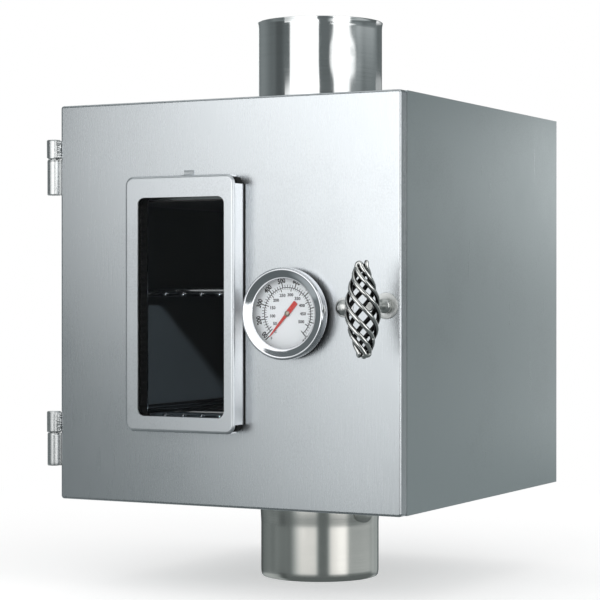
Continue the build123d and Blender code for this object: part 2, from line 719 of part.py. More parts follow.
def washer(radius, hole, x, z):
    """Flat ring on the door's face."""
    front = DOOR_FACE - WASHER_SHEET
    disc = rod_y(radius, front, DOOR_FACE, x, z)
    return disc - rod_y(hole, front - SHEET, DOOR_FACE + SHEET, x, z)


def spindle_washer():
    return washer(WASHER_RADIUS, SPINDLE_RADIUS + HOLE_CLEARANCE, SPINDLE_X, SPINDLE_Z)


def rivet_washer():
    return washer(RIVET_WASHER_RADIUS, RIVET_SHANK, RIVET_X, RIVET_Z)


def latch_plate():
    """Inner plate that gives the spindle a second bearing."""
    left = RIVET_X - LATCH_PLATE_MARGIN
    right = SPINDLE_X + LATCH_PLATE_MARGIN
    rise = LATCH_PLATE_HEIGHT / 2
    outline = upright_outline(left, right, SPINDLE_Z - rise, SPINDLE_Z + rise, 2 * SHEET)
    outline -= Pos(SPINDLE_X, SPINDLE_Z) * Circle(SPINDLE_RADIUS + HOLE_CLEARANCE)
    outline -= Pos(RIVET_X, RIVET_Z) * Circle(RIVET_SHANK)
    return plate(outline, DOOR_FACE + SHEET, LATCH_PLATE)


def latch_rivet():
    """Dome-headed rivet through its washer, the door skin and the latch plate."""
    seat = DOOR_FACE - WASHER_SHEET
    head = seat - RIVET_PROUD
    tail = PLATE_BACK + RIVET_TAIL
    return turned_y([
        (0, head),
        (0.55 * RIVET_HEAD, head + 0.12 * RIVET_PROUD),
        (0.87 * RIVET_HEAD, head + 0.42 * RIVET_PROUD),
        (RIVET_HEAD, head + 0.85 * RIVET_PROUD),
        (RIVET_HEAD, seat),
        (RIVET_SHANK, seat),
        (RIVET_SHANK, PLATE_BACK),
        (RIVET_HEAD, PLATE_BACK),
        (RIVET_HEAD, tail),
        (0, tail),
    ], RIVET_X, RIVET_Z)


def spring_washer():
    return washer_ring(PLATE_BACK, WAVE_WASHER)


def washer_ring(y_front, thickness):
    """Plain ring on the spindle behind the latch plate."""
    ring = rod_y(BUSH_RADIUS, y_front, y_front + thickness, SPINDLE_X, SPINDLE_Z)
    return ring - rod_y(SPINDLE_RADIUS + HOLE_CLEARANCE, y_front - SHEET,
                        y_front + thickness + SHEET, SPINDLE_X, SPINDLE_Z)


def cam_seat():
    """Front face of the cam's hub, where the spindle's round part ends."""
    return BODY_FRONT - TONGUE_GAP


def spindle_bush():
    start = PLATE_BACK + WAVE_WASHER
    return washer_ring(start, cam_seat() - start)


def at_rest(shape):
    """Turn a handle piece from upright to the lean that it rests at."""
    axis = Axis((SPINDLE_X, 0, SPINDLE_Z), (0, 1, 0))
    return shape.rotate(axis, HANDLE_LEAN)


def latch_cam():
    """Square-holed hub with the flat tongue that locks behind the front frame."""
    hub = rod_y(CAM_HUB_RADIUS, cam_seat(), TONGUE_FRONT, SPINDLE_X, SPINDLE_Z)
    outline = Pos(SPINDLE_X, SPINDLE_Z) * RectangleRounded(TONGUE_WIDTH, TONGUE_LENGTH, 2 * SHEET)
    cam = hub + plate(outline, TONGUE_FRONT, TONGUE_THICKNESS)
    half = SQUARE / 2 + SQUARE_FIT
    hole = block(SPINDLE_X - half, SPINDLE_X + half, cam_seat() - SHEET,
                 TONGUE_FRONT + TONGUE_THICKNESS + SHEET, SPINDLE_Z - half, SPINDLE_Z + half)
    return at_rest(cam - hole)


def spindle_nut():
    front = TONGUE_FRONT + TONGUE_THICKNESS
    nut = hex_nut(SPINDLE_NUT_FLATS, THREAD_RADIUS + HOLE_CLEARANCE / 2, front, SPINDLE_NUT,
                  SPINDLE_X, SPINDLE_Z)
    return at_rest(nut)


def cage_radius(share):
    """Distance of a strand from the basket's axis, share running from one end to the other."""
    swell = math.sin(math.pi * share) ** 1.3
    return CAGE_END_RADIUS + (CAGE_RADIUS - CAGE_END_RADIUS) * swell


def cage_turn(share):
    """Degrees that a strand has turned at a share of its length, slower halfway along."""
    return CAGE_TWIST * (share + CAGE_GATHER / math.tau * math.sin(math.tau * share))


def handle_cage():
    """Basket of twisted wire strands gathered into a welded cap at each end."""
    y_axis = DOOR_FACE - CAGE_STANDOFF
    middle = SPINDLE_Z - CAGE_DROP
    cage_low = middle - CAGE_LENGTH / 2
    strand_low = cage_low + CAGE_CAP / 2
    strand_length = CAGE_LENGTH - CAGE_CAP
    # a strand passes on each side of the spindle, so the spindle meets the gap between two
    spindle_share = (SPINDLE_Z - strand_low) / strand_length
    phase = 90 + cage_turn(spindle_share) + 180 / CAGE_STRANDS + CAGE_TURN
    cap_radius = CAGE_END_RADIUS + STRAND_RADIUS
    cage = None
    for z_low in (cage_low, cage_low + CAGE_LENGTH - CAGE_CAP):
        cap = rod_z(cap_radius, z_low, z_low + CAGE_CAP, SPINDLE_X, y_axis)
        outer_end = cap.edges().group_by(Axis.Z)[0 if z_low == cage_low else -1]
        cap = fillet(outer_end, CAGE_CAP / 2)
        cage = cap if cage is None else cage + cap
    for strand in range(CAGE_STRANDS):
        points = []
        for step in range(CAGE_STEPS + 1):
            share = step / CAGE_STEPS
            angle = math.radians(phase - cage_turn(share) + 360 * strand / CAGE_STRANDS)
            radius = cage_radius(share)
            points.append((SPINDLE_X + radius * math.cos(angle),
                           y_axis + radius * math.sin(angle),
                           strand_low + strand_length * share))
        cage += swept_wire(Polyline(*points), RegularPolygon(STRAND_RADIUS, WIRE_SIDES))
    return at_rest(cage)


def handle_stem(cage):
    """Spindle from the basket through the door, with shoulder, square and threaded end."""
    seat = DOOR_FACE - WASHER_SHEET
    shoulder = seat - COLLAR_PROUD
    reach = DOOR_FACE - CAGE_STANDOFF + CAGE_RADIUS - STRAND_RADIUS
    square_end = TONGUE_FRONT + TONGUE_THICKNESS
    end = square_end + SPINDLE_NUT + SHEET / 2
    stem = rod_y(SPINDLE_RADIUS, reach, cam_seat(), SPINDLE_X, SPINDLE_Z)
    stem += rod_y(COLLAR_RADIUS, shoulder, seat, SPINDLE_X, SPINDLE_Z)
    half = SQUARE / 2
    square = block(SPINDLE_X - half, SPINDLE_X + half, cam_seat(), square_end,
                   SPINDLE_Z - half, SPINDLE_Z + half)
    thread = rod_y(THREAD_RADIUS, square_end, end, SPINDLE_X, SPINDLE_Z)
    return at_rest(stem + square + thread) - cage


def save(name, shape):
    """Write one piece to its own STEP file."""
    shape.label = name
    export_step(shape, os.path.join("parts", name + ".step"))


def build_body():
    save("casing_wrap", casing_wrap())
    save("top_panel", top_panel())
    save("bottom_panel", bottom_panel())
    save("front_frame", front_frame())
    save("chamber_wrap", chamber_wrap())
    save("chamber_back", chamber_back())
    save("chamber_stays", chamber_stays())
    save("inlet_collar", inlet_collar())
    save("outlet_collar", outlet_collar())
    for level, (rack_z, drop) in RACKS.items():
        save(level + "_left_rail", rack_rail(-1, rack_z, drop))
        save(level + "_right_rail", rack_rail(1, rack_z, drop))
        save(level + "_rack", wire_rack(rack_z))


def build_door():
    for name, (low, split, top) in HINGES.items():
        save(name + "_body_knuckle", body_knuckle(low, split))
        save(name + "_door_knuckle", door_knuckle(split, top))
        save(name + "_hinge_pin", hinge_pin(low, top))
    save("door_panel", door_panel())
    save("window_frame", window_frame())
    save("front_gasket", front_gasket())
    save("window_glass", window_glass())
    save("rear_gasket", rear_gasket())
    save("frame_clip", frame_clip())
    save("latch_plate", latch_plate())
    save("latch_rivet", latch_rivet())
    save("rivet_washer", rivet_washer())
    save("spindle_washer", spindle_washer())
    save("spring_washer", spring_washer())


def build_gauge():
    save("gauge_case", gauge_case())
    save("gauge_bezel", gauge_bezel())
    save("gauge_lens", gauge_lens())
    save("gauge_dial", gauge_dial())
    save("gauge_stem", gauge_stem())
    save("gauge_washer", gauge_washer())
    save("gauge_nut", gauge_nut())
    save("bimetal_coil", bimetal_coil())
    save("pointer", pointer())
    save("pointer_shaft", pointer_shaft())


def build_handle():
    cage = handle_cage()
    save("handle_cage", cage)
    save("handle_stem", handle_stem(cage))
    save("spindle_bush", spindle_bush())
    save("latch_cam", latch_cam())
    save("spindle_nut", spindle_nut())


os.makedirs("parts", exist_ok=True)
build_body()
build_door()
build_gauge()
build_handle()
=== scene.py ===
"""Looks of the flue-pipe camp oven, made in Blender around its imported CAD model.

Metres, in the model's own frame: +Z up along the flue, the door faces -Y, hinges at -X.
"""
import json
import math
import random

import bmesh
import bpy
from mathutils import Matrix, Vector


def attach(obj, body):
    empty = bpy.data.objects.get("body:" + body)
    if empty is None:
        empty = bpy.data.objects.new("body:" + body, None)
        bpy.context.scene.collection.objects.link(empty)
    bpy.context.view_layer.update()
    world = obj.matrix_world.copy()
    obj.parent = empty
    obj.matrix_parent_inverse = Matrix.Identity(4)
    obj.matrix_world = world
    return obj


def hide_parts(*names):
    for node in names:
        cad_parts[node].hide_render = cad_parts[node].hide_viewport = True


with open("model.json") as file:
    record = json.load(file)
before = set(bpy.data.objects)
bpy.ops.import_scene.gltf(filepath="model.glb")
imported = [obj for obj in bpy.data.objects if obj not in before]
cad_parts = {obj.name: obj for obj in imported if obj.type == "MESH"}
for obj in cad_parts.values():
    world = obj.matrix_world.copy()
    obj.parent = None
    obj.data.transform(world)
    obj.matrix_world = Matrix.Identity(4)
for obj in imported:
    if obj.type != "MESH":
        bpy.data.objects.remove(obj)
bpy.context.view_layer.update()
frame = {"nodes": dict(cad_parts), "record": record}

nodes = frame["nodes"]
MM = 0.001
BLACK = (0, 0, 0, 1)
WHITE = (1, 1, 1, 1)


# ---- node trees

class Graph:
    """Adds nodes to a tree; an input takes a plain value or another node's output."""

    def __init__(self, tree):
        self.tree = tree
        tree.nodes.clear()

    def add(self, kind, inputs=None, out=0, **settings):
        """Make a node and return one of its outputs, or the node if it has none."""
        node = self.tree.nodes.new("ShaderNode" + kind)
        for name, value in settings.items():
            setattr(node, name, value)
        for name, value in (inputs or {}).items():
            socket = node.inputs[name]
            if isinstance(value, bpy.types.NodeSocket):
                self.tree.links.new(value, socket)
            else:
                socket.default_value = value
        return node.outputs[out] if node.outputs else node

    def math(self, operation, first, second=0.0, third=0.0):
        return self.add("Math", {0: first, 1: second, 2: third}, operation=operation)

    def remap(self, value, low, high, to_low=0.0, to_high=1.0, smooth=False):
        kind = "SMOOTHSTEP" if smooth else "LINEAR"
        return self.add("MapRange", {"Value": value, "From Min": low, "From Max": high,
                                     "To Min": to_low, "To Max": to_high},
                        interpolation_type=kind)

    def product(self, first, *others):
        for other in others:
            first = self.math("MULTIPLY", first, other)
        return first

    def step(self, value, low, high, to_low=0.0, to_high=1.0):
        """Like remap, with a soft start and end."""
        return self.remap(value, low, high, to_low, to_high, smooth=True)

    def parts(self, vector):
        """X, Y and Z of a vector."""
        return self.add("SeparateXYZ", {"Vector": vector}).node.outputs[:]

    def place(self, scale=(1, 1, 1), turn=(0, 0, 0)):
        """Object coordinates, in metres, stretched by scale."""
        spot = self.add("TexCoord", out="Object")
        return self.add("Mapping", {"Vector": spot, "Scale": scale, "Rotation": turn})

    def noise(self, vector, scale, detail=2.0, roughness=0.5):
        return self.add("TexNoise", {"Vector": vector, "Scale": scale, "Detail": detail,
                                     "Roughness": roughness}, out="Fac")

    def mix(self, share, first, second):
        """Blend two colours; the node has its colour sockets at 6, 7 and, going out, 2."""
        return self.add("Mix", {0: share, 6: first, 7: second}, out=2, data_type="RGBA")

    def dimmed(self, tone, colour):
        return self.mix(tone, BLACK, rgba(colour))

    def bump(self, height, strength, distance):
        inputs = {"Height": height, "Strength": strength, "Distance": distance}
        return self.add("Bump", inputs, out="Normal")

    def emit(self, level):
        """Light of a lamp's own node tree."""
        self.add("OutputLight", {"Surface": self.add("Emission", {"Strength": level})})


def rgba(colour, gain=1.0):
    return (colour[0] * gain, colour[1] * gain, colour[2] * gain, 1.0)


def new_material(name):
    material = bpy.data.materials.new(name)
    material.use_nodes = True
    return material, Graph(material.node_tree)


def surface(graph, **inputs):
    """Principled shader wired to the material's output; names use _ for a space."""
    named = {key.replace("_", " "): value for key, value in inputs.items()}
    graph.add("OutputMaterial", {"Surface": graph.add("BsdfPrincipled", named)})


# ---- materials; noise stays mostly between 0.3 and 0.7, so that span is remapped

GRAIN_PITCH = 0.5 * MM          # brushed sheet, across the grain
RING_PITCH = 0.35 * MM          # turned metal
MARK_PITCH = 0.6 * MM           # handling marks on wire and hardware
PAINT_PITCH = 0.4 * MM
BRAID_PITCH = 1.6 * MM
CLOUDS, SCRATCHES, SPECKS = 14, 420, 900   # noise scales per metre


def sheet_steel(name, colour, roughness, grain_depth=0.004 * MM, cloud=0.06, speckle=0.05,
                metal=1.0):
    """Rolled and brushed sheet: upright grain, cloudy tone and a few hairline scratches."""
    material, g = new_material(name)
    along = g.place(scale=(1, 1, 0.02))
    lines = g.noise(along, 1 / GRAIN_PITCH, detail=3, roughness=0.65)
    coarse = g.noise(along, 0.25 / GRAIN_PITCH, detail=2)
    clouds = g.noise(g.place(), CLOUDS, detail=3, roughness=0.55)
    grit = g.noise(g.place(), SPECKS, detail=2, roughness=0.7)
    scratch_map = g.place(scale=(1, 1, 0.03), turn=(0.35, 0.5, 0.2))
    hair = g.remap(g.noise(scratch_map, SCRATCHES, detail=1), 0.70, 0.78)
    tone = g.product(g.math("MULTIPLY_ADD", lines, 0.10, 0.95),
                     g.remap(clouds, 0.3, 0.7, 1 - cloud, 1 + cloud),
                     g.remap(grit, 0.3, 0.7, 1 - speckle, 1 + speckle))
    rough = g.remap(lines, 0.3, 0.7, roughness * 0.88, roughness * 1.12)
    rough = g.math("ADD", rough, g.remap(clouds, 0.3, 0.7, -0.025, 0.025))
    rough = g.math("ADD", rough, g.math("MULTIPLY", hair, -0.05))
    height = g.math("ADD", lines, g.math("MULTIPLY", coarse, 0.6))
    height = g.math("ADD", height, g.math("MULTIPLY", grit, 0.35))
    height = g.math("SUBTRACT", height, g.math("MULTIPLY", hair, 0.5))
    surface(g, Base_Color=g.dimmed(tone, colour), Metallic=metal, Roughness=rough,
            Normal=g.bump(height, 0.5, grain_depth))
    return material


def turned_steel(name, colour, roughness, depth=0.002 * MM):
    """Bright steel with faint rings round its own Z axis."""
    material, g = new_material(name)
    x, y, z = g.parts(g.place())
    flat = g.add("CombineXYZ", {0: x, 1: y})
    reach = g.add("VectorMath", {0: flat}, operation="LENGTH", out="Value")
    around = g.math("MULTIPLY", g.math("ARCTAN2", y, x), 0.2 * MM)
    spot = g.add("CombineXYZ", {0: reach, 1: around, 2: z})
    rings = g.noise(spot, 1 / RING_PITCH, detail=3, roughness=0.6)
    clouds = g.noise(g.place(), 30, detail=3)
    tone = g.product(g.remap(rings, 0.3, 0.7, 0.93, 1.05),
                     g.remap(clouds, 0.3, 0.7, 0.96, 1.04))
    surface(g, Base_Color=g.dimmed(tone, colour), Metallic=1.0,
            Roughness=g.remap(rings, 0.3, 0.7, roughness * 0.8, roughness * 1.25),
            Normal=g.bump(rings, 0.4, depth))
    return material


def bright_metal(name, colour, roughness):
    """Polished or plated metal with slight handling marks."""
    material, g = new_material(name)
    marks = g.noise(g.place(), 1 / MARK_PITCH, detail=3, roughness=0.6)
    tone = g.remap(g.noise(g.place(), 60, detail=2), 0.3, 0.7, 0.93, 1.0)
    surface(g, Base_Color=g.dimmed(tone, colour), Metallic=1.0,
            Roughness=g.remap(marks, 0.3, 0.7, roughness * 0.75, roughness * 1.3),
            Normal=g.bump(marks, 0.3, 0.002 * MM))
    return material


def paint(name, colour, roughness):
    material, g = new_material(name)
    grit = g.noise(g.place(), 1 / PAINT_PITCH, detail=2)
    surface(g, Base_Color=g.dimmed(g.remap(grit, 0.3, 0.7, 0.94, 1.0), colour),
            Roughness=g.remap(grit, 0.3, 0.7, roughness * 0.9, roughness * 1.1),
            Normal=g.bump(grit, 0.2, 0.01 * MM))
    return material


def glass(name, colour, roughness, cover, ior=1.45):
    """Pane that shows what is behind it, less the share that its tint covers."""
    material, g = new_material(name)
    smear = g.noise(g.place(), 40, detail=3)
    surface(g, Base_Color=g.dimmed(g.remap(smear, 0.3, 0.7, 0.9, 1.0), colour),
            Roughness=g.remap(smear, 0.4, 0.7, roughness * 0.6, roughness * 1.4),
            Alpha=cover, IOR=ior)
    return material


def braid(name, colour):
    """Plaited glass-fibre tape."""
    material, g = new_material(name)
    place = g.place()
    waves = []
    for turn in (math.radians(45), math.radians(-45)):
        across = g.add("Mapping", {"Vector": place, "Rotation": (0, turn, 0)})
        waves.append(g.add("TexWave", {"Vector": across, "Scale": 0.16 / BRAID_PITCH,
                                       "Distortion": 1.5, "Detail": 1.0}, out="Fac"))
    weave = g.math("MAXIMUM", *waves)
    surface(g, Base_Color=g.mix(weave, rgba(colour, 0.45), rgba(colour, 1.2)),
            Roughness=0.9, Normal=g.bump(weave, 0.8, 0.3 * MM))
    return material


def antique_wire(name, colour, roughness):
    """Basket wire: full colour on its outer side, darkened towards the basket's inside as painted
    shade.
    """
    material, g = new_material(name)
    x, y, z = g.parts(g.place())
    axis_x = g.math("MULTIPLY", y, math.tan(math.radians(HANDLE_LEAN)))
    radial = g.add("CombineXYZ", {0: g.math("SUBTRACT", x, axis_x), 1: 0.0,
                                  2: g.math("SUBTRACT", z, CAGE_AXIS * MM)})
    outward = g.add("VectorMath", {0: radial}, operation="NORMALIZE")
    facing = g.add("VectorMath", {0: outward, 1: g.add("TexCoord", out="Normal")},
                   operation="DOT_PRODUCT", out="Value")
    marks = g.noise(g.place(), 1 / MARK_PITCH, detail=3, roughness=0.6)
    facing = g.math("ADD", facing, g.remap(marks, 0.3, 0.7, -0.12, 0.12))
    # painted shade: the colour falls towards black on the side of each wire that faces the
    # basket's axis
    unshaded_share = g.step(facing, 0.15, 0.7, 0.03, 1.0)
    rough = g.math("ADD", g.remap(marks, 0.3, 0.7, roughness * 0.75, roughness * 1.3),
                   g.remap(unshaded_share, 0.0, 1.0, 0.2, 0.0))
    surface(g, Base_Color=g.dimmed(unshaded_share, colour), Metallic=1.0, Roughness=rough,
            Normal=g.bump(marks, 0.3, 0.002 * MM))
    return material


CAGE_AXIS = 34.0          # basket's axis before the door, in millimetres
HANDLE_LEAN = -1.8        # basket's lean in the door's plane, in degrees
BRIGHT_STEEL = (0.70, 0.71, 0.71)

looks = {
    "casing_steel": sheet_steel("casing_steel", (0.585, 0.64, 0.65), 0.34),
    "chamber_steel": sheet_steel("chamber_steel", (0.16, 0.16, 0.157), 0.42, metal=0.45),
    "door_steel": sheet_steel("door_steel", (0.683, 0.708, 0.73), 0.28),
    "frame_steel": sheet_steel("frame_steel", (0.77, 0.795, 0.82), 0.38, cloud=0.08,
                               grain_depth=0.009 * MM, speckle=0.07),
    "collar_steel": turned_steel("collar_steel", (0.74, 0.75, 0.75), 0.09),
    "hinge_steel": turned_steel("hinge_steel", BRIGHT_STEEL, 0.3),
    "hardware_steel": bright_metal("hardware_steel", BRIGHT_STEEL, 0.2),
    "handle_nickel": antique_wire("handle_nickel", (0.72, 0.72, 0.70), 0.15),
    "rack_chrome": bright_metal("rack_chrome", (0.78, 0.78, 0.79), 0.1),
    "bezel_chrome": turned_steel("bezel_chrome", (0.78, 0.79, 0.82), 0.09, depth=0.0012 * MM),
    "dial_paint": paint("dial_paint", (0.91, 0.95, 0.98), 0.5),
    "pointer_red": paint("pointer_red", (0.62, 0.03, 0.02), 0.35),
    "window_glass": glass("window_glass", (0.004, 0.005, 0.006), 0.02, 0.22, 1.22),
    "lens_glass": glass("lens_glass", (0.6, 0.62, 0.62), 0.01, 0.03),
    "gasket": braid("gasket", (0.02, 0.02, 0.019)),
}
# looks of single pieces, which differ from their slot's own
cap_bronze = turned_steel("cap_bronze", (0.50, 0.44, 0.36), 0.35)
satin_collar = turned_steel("satin_collar", (0.74, 0.73, 0.69), 0.15, depth=0.004 * MM)
matte_dome = turned_steel("matte_dome", (0.66, 0.67, 0.65), 0.3)
matte_disc = turned_steel("matte_disc", (0.76, 0.77, 0.76), 0.4)
# the cup under the bezel is near black as painted shade, which the door mirrors as a dark halo
bezel_shade_cup = turned_steel("bezel_shade_cup", (0.16, 0.16, 0.16), 0.4)
# near black, for the strip that is painted shade in the window frame's gap
gap_shade_black = paint("gap_shade_black", (0.006, 0.006, 0.006), 0.85)
ink = paint("black_ink", (0.012, 0.012, 0.014), 0.6)
grey_ink = paint("grey_ink", (0.035, 0.035, 0.04), 0.6)


def dress_nodes():
    """Give every CAD node its slot's material."""
    for part in frame["record"]["subparts"]:
        node = nodes[part["node"]]
        node.data.materials.clear()
        node.data.materials.append(looks[part["material_slot"]])


dress_nodes()


# ---- mesh kit, in millimetres

DOOR_FACE = -137.5          # y
GAUGE = (49.2, 186.2)       # x and z on the door
SPINDLE = (117.0, 191.4)
RIVET = (87.8, 190.2)
FRAME_LEFT, FRAME_RIGHT, FRAME_LOW, FRAME_HIGH = -66.8, 15.6, 108.6, 275.7
HINGE = (-132.8, -137.0)    # x and y of the pins


def facing_out(x, z, lean=0.0):
    """Local X right, Y up and Z out of the door's face, at a point of that face."""
    place = Matrix.Translation((x * MM, DOOR_FACE * MM, z * MM))
    turn = Matrix.Rotation(math.radians(lean), 4, "Y") @ Matrix.Rotation(math.pi / 2, 4, "X")
    return place @ turn


def upright_at(x, y):
    return Matrix.Translation((x * MM, y * MM, 0))


class Form:
    """Points and faces that become one piece."""

    def __init__(self):
        self.points = []
        self.faces = []

    def ring(self, points):
        first = len(self.points)
        self.points.extend(points)
        return list(range(first, len(self.points)))

    def bridge(self, one, two):
        """Faces between two closed rings; a ring of one point is a pole."""
        count = max(len(one), len(two))
        for step in range(count):
            quad = (one[step % len(one)], one[(step + 1) % len(one)],
                    two[(step + 1) % len(two)], two[step % len(two)])
            corners = tuple(dict.fromkeys(quad))
            if len(corners) > 2:
                self.faces.append(corners)

    def lathe(self, profile, steps, closed=False, swell=None):
        """(radius, height) pairs turned about Z; swell(angle, height) adds to the radius."""
        rings = []
        for radius, height in profile:
            if radius == 0:
                rings.append(self.ring([(0, 0, height)]))
                continue
            points = []
            for step in range(steps):
                angle = math.tau * step / steps
                size = radius + (swell(angle, height) if swell else 0)
                points.append((size * math.cos(angle), size * math.sin(angle), height))
            rings.append(self.ring(points))
        for one, two in zip(rings, rings[1:]):
            self.bridge(one, two)
        if closed:
            self.bridge(rings[-1], rings[0])
        return self

    def tube(self, path, radius, sides, closed=False):
        """Round wire with domed ends along a path; radius may be a function of the share."""
        path = [Vector(point) for point in path]
        count = len(path)
        size = radius if callable(radius) else (lambda share: radius)
        side = None
        frames = []
        for index, point in enumerate(path):
            before = path[(index - 1) % count] if closed or index else point
            after = path[(index + 1) % count] if closed or index < count - 1 else point
            along = (after - before).normalized()
            if side is None:
                side = along.orthogonal().normalized()
            side = (side - along * side.dot(along)).normalized()
            share = index / (count if closed else count - 1)
            frames.append((point, along, side, along.cross(side), size(share)))

        def section(point, across, up, reach):
            return self.ring([point + (across * math.cos(math.tau * step / sides)
                                       + up * math.sin(math.tau * step / sides)) * reach
                              for step in range(sides)])

        def dome(frame_at, way):
            point, along, across, up, reach = frame_at
            # the end swells out as a half ball does, in two rings and a pole
            caps = [section(point + along * way * reach * lift, across, up, reach * shrink)
                    for lift, shrink in ((0.5, 0.87), (0.85, 0.5))]
            return caps + [self.ring([point + along * way * reach])]

        made = [] if closed else dome(frames[0], -1)[::-1]
        made += [section(point, across, up, reach) for point, _, across, up, reach in frames]
        if not closed:
            made += dome(frames[-1], 1)
        for one, two in zip(made, made[1:]):
            self.bridge(one, two)
        if closed:
            self.bridge(made[-1], made[0])
        return self

    def slab(self, outline, low, high, edge=0.0):
        """Flat piece from (x, y) corners listed counterclockwise, with chamfered edges."""
        middle = Vector((sum(x for x, _ in outline), sum(y for _, y in outline))) / len(outline)

        def level(height, inset):
            return self.ring([(*(Vector(point) - (Vector(point) - middle).normalized() * inset),
                               height) for point in outline])

        rings = [level(low, 0), level(high, 0)]
        if edge:
            rings = [level(low, edge), level(low + edge, 0), level(high - edge, 0),
                     level(high, edge)]
        for one, two in zip(rings, rings[1:]):
            self.bridge(one, two)
        self.faces.append(tuple(reversed(rings[0])))
        self.faces.append(tuple(rings[-1]))
        return self


def piece(name, form, body, slot, covers=(), matrix=None, sharp=32.0, look=None):
    """Make a form into an object on its body, in its slot's look."""
    mesh = bpy.data.meshes.new(name)
    mesh.from_pydata([Vector(point) * MM for point in form.points], [], form.faces)
    shell = bmesh.new()
    shell.from_mesh(mesh)
    bmesh.ops.remove_doubles(shell, verts=shell.verts, dist=0.0005 * MM)
    bmesh.ops.recalc_face_normals(shell, faces=shell.faces)
    shell.to_mesh(mesh)
    shell.free()
    for polygon in mesh.polygons:
        polygon.use_smooth = True
    mesh.set_sharp_from_angle(angle=math.radians(sharp))
    mesh.materials.append(look or looks[slot])
    obj = bpy.data.objects.new(name, mesh)
    bpy.context.scene.collection.objects.link(obj)
    if matrix is not None:
        obj.matrix_world = matrix
        bpy.context.view_layer.update()
    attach(obj, body)
    if covers:
        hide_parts(*covers)
    return obj


def loop(left, right, low, high, corner, steps=8):
    """Rounded rectangle as (x, y) points."""
    points = []
    for x, y, start in ((right - corner, high - corner, 0), (left + corner, high - corner, 90),
                        (left + corner, low + corner, 180), (right - corner, low + corner, 270)):
        angles = [math.radians(start + 90 * step / steps) for step in range(steps + 1)]
        points += [(x + corner * math.cos(a), y + corner * math.sin(a)) for a in angles]
    return points


def spread(low, high, steps):
    return [low + (high - low) * step / steps for step in range(steps + 1)]


# ---- collars

UPPER_COLLAR = 44.0       # outside radius


def collar_seam(angle):
    """Lap of the rolled sheet, at the back of the collar."""
    behind = math.degrees(angle) - 90
    return 0.35 * (1 - (behind / 2.2) ** 2) if abs(behind) < 2.2 else 0.0


def dent(angle, height, azimuth, at_height, depth, wide, tall):
    """Shallow hollow in the upper collar's wall; azimuth from +X in degrees."""
    turn = (angle - math.radians(azimuth) + math.pi) % math.tau - math.pi
    across = turn * UPPER_COLLAR
    return -depth * math.exp(-(across / wide) ** 2 - ((height - at_height) / tall) ** 2)


# half-round weld tab under the casing's bottom
TAB_AT = math.radians(-16)
TAB_SPREAD = 0.22                        # half its width, as an angle in radians
TAB_TOP, TAB_SPRING, TAB_DROP = 60.9, 46.5, 6.6


def lower_collar():
    profile = [(39.6, 0.35), (39.9, 0.0), (40.5, 0.15), (41.05, 0.9), (41.4, 2.2), (41.57, 4.0)]
    profile += [(41.6, z) for z in spread(6, 37, 14)]
    profile += [(41.64, 38.5), (41.74, 40.5), (41.88, 43), (42.03, 46), (42.15, 49), (42.24, 53),
                (42.3, 57), (42.3, 60)]
    profile += [(42.3, 61.0), (49.3, 61.0), (49.3, 61.8), (41.5, 61.8), (41.5, 60), (40.8, 46)]
    profile += [(40.8, z) for z in (30, 15, 5)] + [(40.4, 1.6)]

    def swell(angle, height):
        return (collar_seam(angle) if height < 59 else 0.0) + 0.05 * math.sin(3 * angle + 0.6)

    form = Form().lathe(profile, 200, closed=True, swell=swell)
    outline = [(TAB_SPREAD, TAB_TOP)]
    outline += [(TAB_SPREAD * math.cos(a), TAB_SPRING - TAB_DROP * math.sin(a))
                for a in spread(0, math.pi, 20)]
    outline += [(-TAB_SPREAD, TAB_TOP)]
    shells = [form.ring([(r * math.cos(TAB_AT + turn * grow), r * math.sin(TAB_AT + turn * grow),
                          TAB_TOP + (z - TAB_TOP) * grow) for turn, z in outline])
              for r, grow in ((41.8, 1.0), (42.9, 1.0), (43.2, 0.94))]
    form.bridge(shells[0], shells[1])
    form.bridge(shells[1], shells[2])
    form.faces += [tuple(shells[2]), tuple(reversed(shells[0]))]
    piece("lower_collar", form, "oven_body", "collar_steel", ["inlet_collar"], look=satin_collar)


def upper_collar():
    profile = [(43.2, 324.2), (51.0, 324.2), (51.0, 325.0), (UPPER_COLLAR, 325.0),
               (UPPER_COLLAR, 326.9)]
    profile += [(UPPER_COLLAR, z) for z in spread(328, 385, 38)]
    profile += [(44.1, 387.0), (44.3, 388.4), (44.5, 389.3), (44.55, 389.7), (44.4, 389.94),
                (44.1, 389.99), (43.85, 389.8), (43.75, 389.3), (43.2, 386)]
    profile += [(43.2, z) for z in spread(384, 328, 14)]

    def swell(angle, height):
        hollow = dent(angle, height, -41.0, 361.0, 0.2, 9.0, 9.0)
        foot = dent(angle, height, -66.0, 340.0, 0.25, 9.0, 12.0)
        return (collar_seam(angle) if height > 327 else 0.0) + hollow + foot

    form = Form().lathe(profile, 320, closed=True, swell=swell)
    piece("upper_collar", form, "oven_body", "collar_steel", ["outlet_collar"])


# ---- racks

RACK_HALF, RACK_FRONT, RACK_REAR, RACK_CORNER = 96, -117.5, 96.5, 9
EDGE_WIRE, CROSS_WIRE = 2.0, 1.25        # radii
CROSS_PITCH, CROSS_DROP = 14.0, 2.85


def wire_rack(name, height):
    """Bent edge wire with cross wires spot-welded under it."""
    form = Form()
    edge = loop(-RACK_HALF, RACK_HALF, RACK_FRONT, RACK_REAR, RACK_CORNER, 10)
    form.tube([(x, y, height) for x, y in edge], EDGE_WIRE, 14, closed=True)
    under = height - CROSS_DROP
    for index in range(-6, 7):
        x = CROSS_PITCH * index
        stations = (RACK_FRONT - 0.5, -60.0, 0.0, 60.0, RACK_REAR + 0.5)
        form.tube([(x, y, under) for y in stations], CROSS_WIRE, 12)
        for y in (RACK_FRONT, RACK_REAR):
            # squeezed metal of the spot weld
            form.tube([(x - 1.9, y, under + 0.9), (x, y, under + 0.75), (x + 1.9, y, under + 0.9)],
                      0.8, 8)
    piece(name + "_wires", form, name, "rack_chrome", [name], sharp=60)


# ---- basket handle

